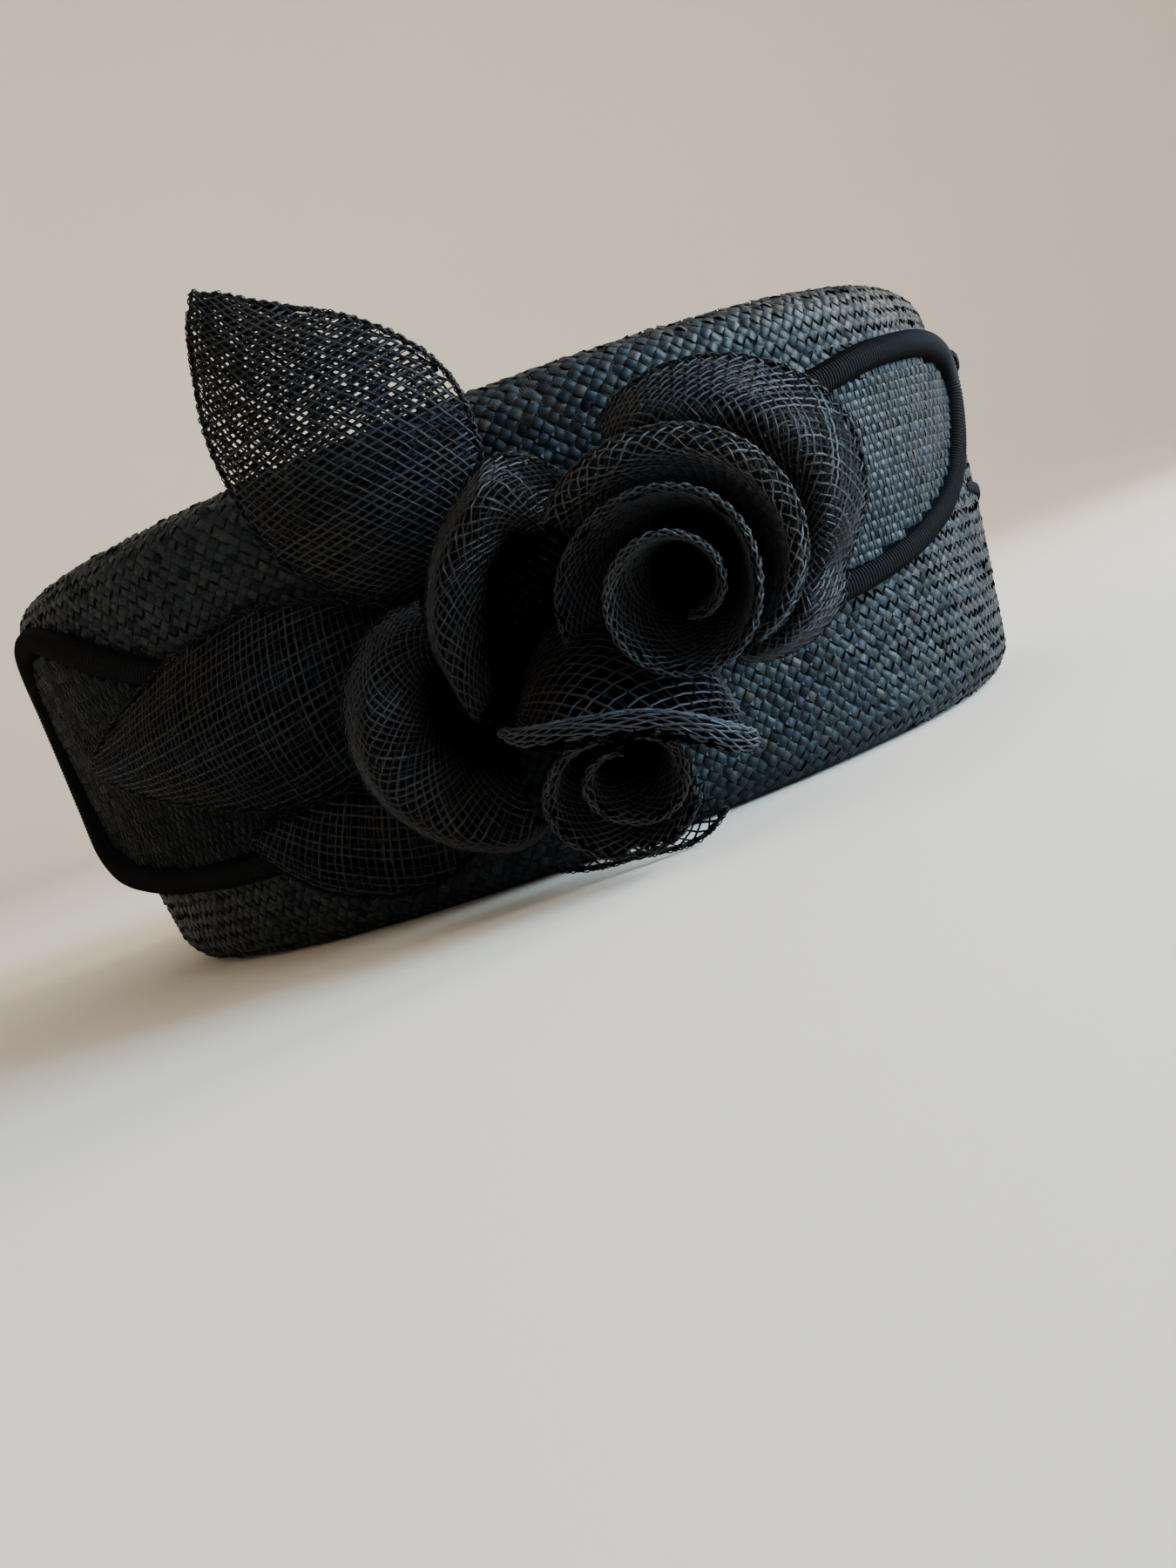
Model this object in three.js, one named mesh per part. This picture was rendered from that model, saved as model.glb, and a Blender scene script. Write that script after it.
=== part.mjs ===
// Pillbox hat of woven straw with ribbon piping and a spray of sinamay roses.
// Millimetres, +Z up. The hat stands on its rim: the origin is the middle of the head opening,
// +X is the front of the hat and -Y the trimmed side.
import * as THREE from 'three';

// Crown: an oval shell that widens from the rim to the top
const CROWN_LENGTH = 270;
const CROWN_WIDTH = 246;
const CROWN_HEIGHT = 105;
const RIM_SHARE = 0.895;
const STRAW = 1.9;
const TOP_RISE = 1.5;
const TOP_SHOULDER = 0.6;
const TOP_EDGE_RADIUS = 9;
const RIM_RADIUS = 11;
const TURNED_UNDER = 20;
const CROWN_SIDES = 60;
const EDGE_STEPS = 5;

// The wall falls back at the upper front, from this height up, by this much at the top
const FRONT_DIP = 8;
const FRONT_DIP_FROM = 35;
const FRONT_DIP_POWER = 6;

// Ribbon piping, sewn round the two straw panels and on round the far side
const RIBBON_WIDTH = 6.5;
const RIBBON_HEIGHT = 3.4;
const RIBBON_EDGE = 0.45;
const RIBBON_CREST = 0.5;
const RIBBON_STEP = 12;

// Sinamay sheets, and the gap that two touching pieces keep
const SINAMAY = 1.0;
const SEAM_GAP = 0.3;

// The middle of the spray on the wall: turn from -Y towards +X in degrees, and height
const SPRAY_TURN = 27;
const SPRAY_HEIGHT = 50;
const SPRAY_LIFT = 4;

const STRAW_FINISH = { color: 0x14181c, roughness: 0.45, metalness: 0.0 };
const RIBBON_FINISH = { color: 0x12131a, roughness: 0.65, metalness: 0.0 };
const SINAMAY_FINISH = { color: 0x17171b, roughness: 0.55, metalness: 0.0 };

// Ribbon routes along the wall: turn in degrees, height, lift off the wall
const FRONT_LOOP = [
  [44, 80, 0.5], [54, 82.7, 1.4], [63, 85.7, 2.5], [70.5, 86.7, 3.4], [77.3, 86, 3.9], [82.5, 82.3, 3.8],
  [84.1, 74.6, 2.9], [82.7, 66, 1.9], [79.7, 57.9, 1.2], [75, 50.5, 0.7], [68.7, 44.7, 0.4],
  [61.6, 40.8, 0.3], [54, 38.6, 0.3], [44, 37.5, 0.3],
];
const BACK_LOOP = [
  [-6, 61, 0.3], [-14, 67, 1], [-22.6, 75, 2], [-30.5, 83.6, 2.5], [-36.6, 89.9, 2], [-43, 94, 1],
  [-50, 92.5, 1], [-55.5, 85, 1.5], [-57.5, 70, 3], [-57.5, 52, 5], [-56.2, 39.5, 6.3], [-52, 32.2, 5.5],
  [-45, 28.2, 3.5], [-36, 25.6, 2], [-24, 23.6, 0.8], [-12, 24, 0.3], [-2, 25.5, 0.3],
];
const FAR_UPPER = [
  [86.8, 80.3, 3.4], [100, 83.2, 2.2], [125, 86, 0.5], [160, 87.4, 0.5], [195, 88.3, 0.5],
  [230, 88.9, 0.5], [265, 88.8, 0.5], [300, 88, 0.5],
];
const FAR_LOWER = [
  [84.6, 49.8, 0.5], [108, 46.2, 0.5], [140, 43.2, 0.5], [180, 41, 0.5], [220, 39, 0.5],
  [260, 37.3, 0.5], [300, 36, 0.5],
];

// Straw panels inside the ribbon loops: turn, lower and upper height, lower and upper lift off the wall
const PANEL_FRONT = [
  [45, 41.6, 76, 1.4, 1.4], [54, 42.6, 78.6, 1.4, 2.3], [62, 45.2, 81.4, 1.4, 3.3],
  [69, 49.7, 82.5, 1.5, 4.2], [75, 55.6, 81.8, 1.8, 4.7], [78.8, 63, 80.1, 2.4, 4.7],
  [81.1, 68.2, 77.8, 3, 4.4], [81.9, 72, 75.5, 3.5, 4],
];
const PANEL_BACK = [
  [-5, 29.2, 56.8, 1.4, 1.4], [-14, 28, 62.2, 1.4, 1.8], [-24, 27.7, 71.3, 1.7, 3],
  [-34, 29.3, 82, 2.6, 3.3], [-43, 32, 89.3, 4, 2.2], [-48.7, 35.2, 87.8, 5.4, 2.2],
  [-52.9, 40.6, 81.5, 6.6, 3], [-55.3, 48.5, 71.5, 6, 4.2],
];

// Leaves along their spine on the wall: turn, height, half width, lift off the wall, drop of the edges
const LEAF_UPRIGHT = [
  [15, 68, 3.5, 0.9, 0], [13.4, 77, 15.2, 7, 3.2], [11.2, 88, 23.2, 12, 6.8], [8.9, 101, 26.5, 15, 9.2],
  [5.6, 118, 20.3, 14, 7.2], [3.6, 131, 10.5, 11, 3], [2.3, 142.3, 0.8, 9, 0],
];
const LEAF_BACK = [
  [10, 60, 4, 0.9, 0], [3, 58, 16, 9, 3.5], [-5, 57, 21.5, 14.5, 8.5], [-14, 57, 20, 14.5, 8.5],
  [-22, 57.3, 15, 12, 6], [-30.5, 58, 8.5, 9, 2.5], [-39, 59.3, 0.8, 7, 0],
];
const LEAF_LOW = [
  [9.5, 22, 4, 0.9, 0], [3.5, 21.5, 11, 6.5, 1.5], [-2, 21.5, 13, 9, 3.5], [-8.6, 23.6, 11, 9.5, 3.5],
  [-12.8, 26.6, 8, 8.5, 2.2], [-16, 30, 3.5, 7.5, 0.6], [-17.5, 31.5, 0.8, 7, 0],
];

// Where each petal's axis leaves the spray, along the wall (u) and up it (v), and how the axis leans
const UPPER_ROSE = { u: 21.1, v: 7.3, leanU: -0.36, leanV: -0.07 };
const UPPER_LEFT = { u: -14.2, v: 12.6, leanU: -0.3, leanV: 0 };
const LOWER_ROSE = { u: -5.8, v: -17.7, leanU: -0.26, leanV: -0.21 };
const LOWER_LEFT = { u: -32.4, v: -5.4, leanU: -0.28, leanV: -0.1 };

// Petals in sections round their axis: turn, foot radius, then radius and height of belly, crest and lip
const UPPER_HEART = [
  [262, 3.2, 3.6, 19, 4.5, 36, 5.2, 38.5],
  [327, 3.8, 4.6, 19, 6.0, 38, 6.9, 40.5],
  [392, 4.5, 5.9, 20, 8.8, 39, 9.8, 41.5],
  [457, 5.2, 7.6, 20, 12.2, 41, 13.2, 43.5],
  [522, 6.0, 8.8, 21, 13.4, 42, 14.5, 44.5],
  [587, 6.8, 9.8, 21, 13.8, 42, 15.0, 44.5],
  [652, 7.6, 10.4, 21, 13.8, 41, 15.0, 43.5],
  [717, 8.4, 11.0, 20, 13.9, 39, 15.1, 41.0],
  [782, 9.2, 13.0, 19, 18.4, 36.5, 19.6, 38.5],
  [847, 10.0, 15.0, 18, 21.4, 35, 22.7, 36.8],
  [912, 10.8, 18.0, 14.5, 26.4, 28.5, 28.2, 29.5],
];
const UPPER_WRAP = [
  [300, 12.5, 14.6, 15, 16.6, 30, 18.2, 29],
  [341, 12.6, 16.0, 16, 19.6, 32, 22.0, 30],
  [382, 12.8, 18.0, 16, 23.4, 33, 26.6, 30.5],
  [423, 13.0, 19.0, 16, 26.6, 33, 30.2, 30.5],
  [464, 13.0, 19.5, 16, 27.6, 32, 31.2, 29],
  [502, 13.0, 20.0, 14, 28.4, 28, 31.8, 25.6],
];
const UPPER_BACK = [
  [274, 15.5, 16.8, 9, 19.6, 16, 24.5, 6],
  [302, 15.5, 19.0, 11, 23.2, 20, 29.0, 6],
  [326, 15.5, 20.0, 11, 25.2, 19, 31.5, 5],
  [342, 15.5, 20.6, 9, 25.0, 14, 31.0, 4],
  [366, 15.5, 22.0, 12, 29.6, 20, 37.0, 4],
  [392, 15.5, 24.5, 14, 33.6, 23, 42.0, 6],
  [420, 15.5, 24.5, 14, 33.6, 24, 42.0, 8],
  [446, 15.5, 24.0, 13, 31.6, 23, 39.5, 9],
  [470, 15.5, 22.5, 11, 28.0, 19, 35.0, 8],
];
const UPPER_LEFT_PETAL = [
  [58, 9, 11, 8, 17.5, 11, 24.0, 4],
  [84, 9, 12, 14, 21.0, 26, 28.0, 13],
  [108, 8.5, 10, 15, 17.5, 28, 23.5, 15],
  [134, 8, 9, 15, 15.5, 28, 20.8, 17],
  [160, 8, 9, 15, 15.2, 27, 20.2, 17.5],
  [188, 8.5, 10.5, 14, 17.3, 26, 22.5, 16.5],
  [212, 10, 14, 14, 21.2, 24, 25.5, 13],
  [232, 12, 21, 13, 27.5, 20, 29.8, 12],
];
const LOWER_HEART = [
  [70, 2.8, 3.2, 18, 3.8, 35, 4.4, 37],
  [132, 3.4, 4.2, 18, 5.3, 36, 6.1, 38],
  [194, 4.0, 5.2, 18, 7.0, 37, 7.9, 39],
  [256, 4.6, 6.2, 18, 8.0, 37, 9.0, 39],
  [318, 5.2, 7.4, 18, 10.8, 37.5, 12.0, 39.5],
  [380, 5.8, 8.0, 18, 11.4, 38, 12.6, 40],
  [442, 6.4, 7.8, 18, 9.2, 39, 10.0, 41],
  [504, 7.0, 9.4, 18, 11.8, 39, 13.0, 41],
  [566, 7.6, 11.6, 18, 15.6, 36.5, 17.4, 38],
  [628, 8.2, 12.2, 18, 16.2, 36, 18.0, 37],
  [690, 8.8, 11.4, 18, 14.6, 36, 15.8, 37],
];
const LOWER_HOOD = [
  [-1, 21, 24.5, 20, 24.2, 37, 26.8, 36],
  [9, 21.5, 23.5, 22, 20.4, 40.8, 22.8, 40.2],
  [28, 21, 21, 22, 16.2, 43.4, 18.8, 43],
  [56, 21, 19.5, 22, 12.6, 44, 15.2, 43.5],
  [88, 22, 19.5, 22, 11.4, 44, 14.0, 43.5],
  [119, 22, 20.5, 22, 13.6, 42, 16.2, 41.5],
  [141, 21, 21, 20, 17.8, 37.4, 20.4, 36.5],
  [151, 20, 22, 17, 22.4, 31, 24.8, 29],
];
const LOWER_LEFT_PETAL = [
  [106, 8, 14, 4.5, 20.0, 7, 24.0, 2],
  [126, 8, 13, 8.5, 21.5, 14, 27.0, 6],
  [150, 8, 11.5, 12, 20.5, 22, 28.5, 9],
  [174, 8, 11, 13, 20.5, 24, 29.5, 9],
  [200, 8, 11, 13, 21.5, 25, 31.0, 9],
  [226, 8, 11.5, 13, 22.0, 25, 32.0, 9],
  [250, 8, 13, 13, 23.5, 24, 33.0, 9],
  [270, 9, 15, 13, 25.0, 23, 32.5, 10],
  [284, 10, 17.5, 13, 24.6, 21, 28.2, 12],
];
const LOWER_SKIRT = [
  [223, 11, 18, 9, 26.0, 22, 30.5, 26.5],
  [232, 11, 17.5, 10, 24.6, 24, 27.8, 28],
  [244, 11, 17, 11, 22.0, 25, 24.2, 30],
  [260, 11, 16.5, 11, 20.4, 25, 22.0, 30],
  [276, 11, 16.5, 11, 20.4, 25, 22.0, 30],
  [294, 11, 17, 10, 22.0, 24, 24.4, 28],
  [314, 11, 16, 9, 21.0, 22, 25.0, 25.5],
];

// How finely routes and sheets are followed
const LOOK_AHEAD = 0.004;
const WALL_PASSES = 6;
const PANEL_ALONG = 12;
const PANEL_ACROSS = 3;
const PETAL_STEP = 16;
const PETAL_ACROSS = 7;
const LEAF_ALONG = 14;
const LEAF_ACROSS = 7;

const HALF_LENGTH = CROWN_LENGTH / 2;
const HALF_WIDTH = CROWN_WIDTH / 2;
const WALL_SLOPE = (1 - RIM_SHARE) / CROWN_HEIGHT;
const WALL_LEAN = Math.atan(HALF_LENGTH * WALL_SLOPE);

// A smooth row between the rows of a table: s runs from 0 at the first row to 1 at the last.
function smoothRow(rows, s) {
  const last = rows.length - 1;
  const i = Math.min(Math.max(Math.floor(s * last), 0), last - 1);
  const x = s * last - i;
  return rows[i].map((from, column) => {
    const to = rows[i + 1][column];
    const before = i > 0 ? rows[i - 1][column] : 2 * from - to;
    const after = i + 2 <= last ? rows[i + 2][column] : 2 * to - from;
    const rise = to - before;
    const bend = 2 * before - 5 * from + 4 * to - after;
    const twist = 3 * from - before - 3 * to + after;
    return from + 0.5 * x * (rise + x * (bend + x * twist));
  });
}

// The oval of the wall at a height, as a share of the top oval.
function wallShare(height) {
  return RIM_SHARE + WALL_SLOPE * height;
}

// Direction out of the wall at a turn.
function wallNormal(turn) {
  const angle = THREE.MathUtils.degToRad(turn);
  return new THREE.Vector3(
    Math.sin(angle) / HALF_LENGTH, -Math.cos(angle) / HALF_WIDTH, -WALL_SLOPE,
  ).normalize();
}

// How far the wall falls back at the upper front.
function frontDip(turn, height) {
  const front = Math.max(Math.sin(THREE.MathUtils.degToRad(turn)), 0);
  const rise = Math.max((height - FRONT_DIP_FROM) / (CROWN_HEIGHT - FRONT_DIP_FROM), 0);
  return FRONT_DIP * front ** FRONT_DIP_POWER * rise ** 2;
}

// A point on the wall, or lifted off it.
function onWall(turn, height, lift = 0) {
  const angle = THREE.MathUtils.degToRad(turn);
  const share = wallShare(height);
  return new THREE.Vector3(
    HALF_LENGTH * share * Math.sin(angle) - frontDip(turn, height),
    -HALF_WIDTH * share * Math.cos(angle),
    height,
  ).addScaledVector(wallNormal(turn), lift);
}

// The spray's own frame: u along the wall to the front, v up the wall, w out of it.
const SPRAY = {
  centre: onWall(SPRAY_TURN, SPRAY_HEIGHT),
  w: wallNormal(SPRAY_TURN),
};
SPRAY.u = new THREE.Vector3(0, 0, 1).cross(SPRAY.w).normalize();
SPRAY.v = SPRAY.w.clone().cross(SPRAY.u);

// The point of the wall straight behind a place of the spray, lifted off the wall along w.
function dropToWall(u, v, lift) {
  const point = SPRAY.centre.clone().addScaledVector(SPRAY.u, u).addScaledVector(SPRAY.v, v);
  for (let pass = 0; pass < WALL_PASSES; pass += 1) {
    const share = Math.hypot(point.x / HALF_LENGTH, point.y / HALF_WIDTH);
    const slope = new THREE.Vector3(
      point.x / (HALF_LENGTH ** 2 * share), point.y / (HALF_WIDTH ** 2 * share), -WALL_SLOPE,
    );
    point.addScaledVector(SPRAY.w, (wallShare(point.z) - share) / slope.dot(SPRAY.w));
  }
  return point.addScaledVector(SPRAY.w, lift);
}

// A closed solid from vertices and triangles.
function solid(vertices, triangles) {
  const geometry = new THREE.BufferGeometry();
  const places = vertices.flatMap((p) => p.toArray());
  geometry.setAttribute('position', new THREE.Float32BufferAttribute(places, 3));
  geometry.setIndex(triangles);
  geometry.computeVertexNormals();
  return geometry;
}

// A sheet of even thickness about the surface pointAt(s, q), closed along its four edges.
function sheet(pointAt, along, across, thickness = SINAMAY) {
  const middle = [];
  for (let i = 0; i <= along; i += 1) {
    middle.push(Array.from({ length: across + 1 }, (_, j) => pointAt(i / along, j / across)));
  }
  const vertices = [];
  for (const half of [thickness / 2, -thickness / 2]) {
    for (let i = 0; i <= along; i += 1) {
      for (let j = 0; j <= across; j += 1) {
        const lengthwise = middle[Math.min(i + 1, along)][j].clone().sub(middle[Math.max(i - 1, 0)][j]);
        const crosswise = middle[i][Math.min(j + 1, across)].clone().sub(middle[i][Math.max(j - 1, 0)]);
        const normal = lengthwise.cross(crosswise).normalize();
        vertices.push(middle[i][j].clone().addScaledVector(normal, half));
      }
    }
  }
  const back = (along + 1) * (across + 1);
  const at = (i, j) => i * (across + 1) + j;
  const triangles = [];
  const quad = (a, b, c, d) => triangles.push(a, b, c, a, c, d);
  for (let i = 0; i < along; i += 1) {
    for (let j = 0; j < across; j += 1) {
      quad(at(i, j), at(i + 1, j), at(i + 1, j + 1), at(i, j + 1));
      quad(back + at(i, j), back + at(i, j + 1), back + at(i + 1, j + 1), back + at(i + 1, j));
    }
    quad(at(i, 0), back + at(i, 0), back + at(i + 1, 0), at(i + 1, 0));
    quad(at(i + 1, across), back + at(i + 1, across), back + at(i, across), at(i, across));
  }
  for (let j = 0; j < across; j += 1) {
    quad(at(0, j + 1), back + at(0, j + 1), back + at(0, j), at(0, j));
    quad(at(along, j), back + at(along, j), back + at(along, j + 1), at(along, j + 1));
  }
  return solid(vertices, triangles);
}

// The arc that rounds a corner of a profile.
function roundedCorner(before, corner, after, radius) {
  const back = before.clone().sub(corner).normalize();
  const ahead = after.clone().sub(corner).normalize();
  const half = Math.acos(back.dot(ahead)) / 2;
  const start = corner.clone().addScaledVector(back, radius / Math.tan(half));
  const centre = corner.clone().addScaledVector(back.clone().add(ahead).normalize(), radius / Math.sin(half));
  const sweep = (Math.PI - 2 * half) * Math.sign(ahead.cross(back));
  return Array.from({ length: EDGE_STEPS + 1 }, (_, i) => (
    start.clone().rotateAround(centre, (sweep * i) / EDGE_STEPS)
  ));
}

// One face of the straw, from the middle of the top to the edge turned under the rim.
function crownFace(depth) {
  const inset = depth / Math.cos(WALL_LEAN);
  const corner = (height) => new THREE.Vector2(HALF_LENGTH * wallShare(height) - inset, height);
  const top = corner(CROWN_HEIGHT - depth);
  const rim = corner(depth);
  const middle = new THREE.Vector2(0, CROWN_HEIGHT + TOP_RISE - depth);
  const edge = new THREE.Vector2(HALF_LENGTH * RIM_SHARE - TURNED_UNDER, depth);
  const shoulder = new THREE.Vector2(
    HALF_LENGTH * TOP_SHOULDER, CROWN_HEIGHT + TOP_RISE * (1 - TOP_SHOULDER ** 2) - depth,
  );
  return [
    middle, shoulder,
    ...roundedCorner(shoulder, top, rim, TOP_EDGE_RADIUS - depth),
    ...roundedCorner(top, rim, edge, RIM_RADIUS - depth),
    edge,
  ];
}

// The crown: both faces of the straw turned about the oval.
function crown() {
  const profile = [...crownFace(STRAW), ...crownFace(0).reverse()];
  profile[0].x = 0;
  const geometry = new THREE.LatheGeometry(profile, CROWN_SIDES);
  geometry.rotateX(Math.PI / 2);
  const place = geometry.attributes.position;
  for (let i = 0; i < place.count; i += 1) {
    const turn = THREE.MathUtils.radToDeg(Math.atan2(place.getX(i), -place.getY(i)));
    const reach = Math.hypot(place.getX(i), place.getY(i)) / HALF_LENGTH;
    place.setX(i, place.getX(i) - Math.min(reach, 1) * frontDip(turn, place.getZ(i)));
  }
  geometry.scale(1, CROWN_WIDTH / CROWN_LENGTH, 1);
  return geometry;
}

// Ribbon piping along a route on the wall.
function ribbon(route) {
  const side = RIBBON_WIDTH / 2;
  const section = [
    [-side, 0], [-side, RIBBON_HEIGHT * RIBBON_EDGE], [-side * RIBBON_CREST, RIBBON_HEIGHT],
    [side * RIBBON_CREST, RIBBON_HEIGHT], [side, RIBBON_HEIGHT * RIBBON_EDGE], [side, 0],
  ];
  const place = (s) => onWall(...smoothRow(route, s));
  let length = 0;
  for (let i = 0; i < route.length - 1; i += 1) {
    length += onWall(...route[i]).distanceTo(onWall(...route[i + 1]));
  }
  const steps = Math.round(length / RIBBON_STEP) + route.length;
  const vertices = [];
  for (let i = 0; i <= steps; i += 1) {
    const s = i / steps;
    const [turn] = smoothRow(route, s);
    const normal = wallNormal(turn);
    const ahead = place(Math.min(s + LOOK_AHEAD, 1)).sub(place(Math.max(s - LOOK_AHEAD, 0)));
    const across = ahead.cross(normal).normalize();
    for (const [reach, lift] of section) {
      vertices.push(place(s).addScaledVector(across, reach).addScaledVector(normal, lift));
    }
  }
  const sides = section.length;
  const triangles = [];
  for (let i = 0; i < steps; i += 1) {
    for (let j = 0; j < sides; j += 1) {
      const a = i * sides + j;
      const b = i * sides + ((j + 1) % sides);
      triangles.push(a, b, b + sides, a, b + sides, a + sides);
    }
  }
  const end = steps * sides;
  for (let j = 1; j < sides - 1; j += 1) {
    triangles.push(0, j + 1, j, end, end + j, end + j + 1);
  }
  return solid(vertices, triangles);
}

// A straw panel between its lower and upper edge.
function panel(rows) {
  const pointAt = (s, q) => {
    const [turn, low, high, lowLift, highLift] = smoothRow(rows, s);
    return onWall(turn, THREE.MathUtils.lerp(low, high, q), THREE.MathUtils.lerp(lowLift, highLift, q));
  };
  return sheet(pointAt, PANEL_ALONG, PANEL_ACROSS, STRAW);
}

// A cupped leaf along its spine on the wall.
function leaf(rows) {
  const spine = (s) => {
    const [turn, height, , lift] = smoothRow(rows, s);
    return onWall(turn, height, lift);
  };
  const pointAt = (s, q) => {
    const [turn, , halfWidth, , drop] = smoothRow(rows, s);
    const normal = wallNormal(turn);
    const ahead = spine(Math.min(s + LOOK_AHEAD, 1)).sub(spine(Math.max(s - LOOK_AHEAD, 0)));
    const across = normal.clone().cross(ahead).normalize();
    const x = 2 * q - 1;
    return spine(s).addScaledVector(across, halfWidth * x).addScaledVector(normal, -drop * x * x);
  };
  return sheet(pointAt, LEAF_ALONG, LEAF_ACROSS);
}

// A petal or spiral strip round its axis: its foot stands on the wall, its lip curls over.
function petal(axis, rows) {
  const base = SPRAY.centre.clone().addScaledVector(SPRAY.u, axis.u).addScaledVector(SPRAY.v, axis.v)
    .addScaledVector(SPRAY.w, SPRAY_LIFT);
  const up = SPRAY.w.clone().addScaledVector(SPRAY.u, axis.leanU).addScaledVector(SPRAY.v, axis.leanV)
    .normalize();
  const right = SPRAY.u.clone().addScaledVector(up, -SPRAY.u.dot(up)).normalize();
  const rise = up.clone().cross(right);
  const pointAt = (s, q) => {
    const [turn, footR, bellyR, bellyH, crestR, crestH, lipR, lipH] = smoothRow(rows, s);
    const angle = THREE.MathUtils.degToRad(turn);
    const outward = right.clone().multiplyScalar(Math.cos(angle)).addScaledVector(rise, Math.sin(angle));
    const at = (radius, height) => (
      base.clone().addScaledVector(outward, radius).addScaledVector(up, height).toArray()
    );
    const foot = dropToWall(
      axis.u + footR * Math.cos(angle), axis.v + footR * Math.sin(angle), SEAM_GAP + SINAMAY / 2,
    );
    const section = [foot.toArray(), at(bellyR, bellyH), at(crestR, crestH), at(lipR, lipH)];
    return new THREE.Vector3(...smoothRow(section, q));
  };
  const turned = rows[rows.length - 1][0] - rows[0][0];
  return sheet(pointAt, Math.round(turned / PETAL_STEP), PETAL_ACROSS);
}

const hat = new THREE.Group();

function add(name, geometry, finish) {
  const mesh = new THREE.Mesh(geometry, new THREE.MeshStandardMaterial(finish));
  mesh.name = name;
  hat.add(mesh);
}

add('crown', crown(), STRAW_FINISH);
add('panel_front', panel(PANEL_FRONT), STRAW_FINISH);
add('panel_back', panel(PANEL_BACK), STRAW_FINISH);
add('ribbon_front_loop', ribbon(FRONT_LOOP), RIBBON_FINISH);
add('ribbon_back_loop', ribbon(BACK_LOOP), RIBBON_FINISH);
add('ribbon_far_upper', ribbon(FAR_UPPER), RIBBON_FINISH);
add('ribbon_far_lower', ribbon(FAR_LOWER), RIBBON_FINISH);
add('leaf_upright', leaf(LEAF_UPRIGHT), SINAMAY_FINISH);
add('leaf_back', leaf(LEAF_BACK), SINAMAY_FINISH);
add('leaf_low', leaf(LEAF_LOW), SINAMAY_FINISH);
add('rose_upper_heart', petal(UPPER_ROSE, UPPER_HEART), SINAMAY_FINISH);
add('rose_upper_wrap', petal(UPPER_ROSE, UPPER_WRAP), SINAMAY_FINISH);
add('rose_upper_back_petal', petal(UPPER_ROSE, UPPER_BACK), SINAMAY_FINISH);
add('rose_upper_left_petal', petal(UPPER_LEFT, UPPER_LEFT_PETAL), SINAMAY_FINISH);
add('rose_lower_heart', petal(LOWER_ROSE, LOWER_HEART), SINAMAY_FINISH);
add('rose_lower_hood', petal(LOWER_ROSE, LOWER_HOOD), SINAMAY_FINISH);
add('rose_lower_left_petal', petal(LOWER_LEFT, LOWER_LEFT_PETAL), SINAMAY_FINISH);
add('rose_lower_skirt', petal(LOWER_ROSE, LOWER_SKIRT), SINAMAY_FINISH);

export default hat;
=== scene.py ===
import math
from collections import namedtuple

import bpy
import numpy as np
from mathutils import Matrix, Vector


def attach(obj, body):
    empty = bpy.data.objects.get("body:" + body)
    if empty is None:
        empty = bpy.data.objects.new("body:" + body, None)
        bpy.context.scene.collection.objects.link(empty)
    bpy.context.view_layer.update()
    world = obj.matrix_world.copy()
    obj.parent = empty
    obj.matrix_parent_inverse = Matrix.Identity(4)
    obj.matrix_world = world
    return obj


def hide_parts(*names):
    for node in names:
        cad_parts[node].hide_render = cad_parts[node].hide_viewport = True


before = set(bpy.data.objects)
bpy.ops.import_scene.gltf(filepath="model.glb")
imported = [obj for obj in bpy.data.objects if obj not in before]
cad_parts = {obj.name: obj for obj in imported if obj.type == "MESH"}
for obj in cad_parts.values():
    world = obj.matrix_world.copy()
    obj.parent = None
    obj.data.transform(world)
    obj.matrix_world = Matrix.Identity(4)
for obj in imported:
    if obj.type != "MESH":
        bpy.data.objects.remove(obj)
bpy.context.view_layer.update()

bl_info = {
    "name": "Pillbox hat",
    "version": (1, 0, 0),
    "blender": (4, 5, 0),
    "location": "3D View > Sidebar > Hat",
    "description": "Models a straw pillbox hat with ribbon piping and sinamay roses",
    "category": "Add Mesh",
}

MM = 0.001
BODY = "root"

# Crown, in millimetres as all the tables below: an oval shell that widens from the rim to the top
CROWN_LENGTH = 270
CROWN_WIDTH = 246
CROWN_HEIGHT = 105
RIM_SHARE = 0.895
STRAW = 1.9
TOP_RISE = 1.5
TOP_SHOULDER = 0.6
TOP_EDGE_RADIUS = 9
RIM_RADIUS = 11
TURNED_UNDER = 20
CROWN_SIDES = 180
EDGE_STEPS = 10

# The wall falls back at the upper front, from this height up, by this much at the top
FRONT_DIP = 8
FRONT_DIP_FROM = 35
FRONT_DIP_POWER = 6

RIBBON_WIDTH = 6.5
RIBBON_HEIGHT = 3.4
SEAM_GAP = 0.3
SHEET = 1.0

# The middle of the spray on the wall: turn from -Y towards +X in degrees, and height
SPRAY_TURN = 27
SPRAY_HEIGHT = 50
SPRAY_LIFT = 4

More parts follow.
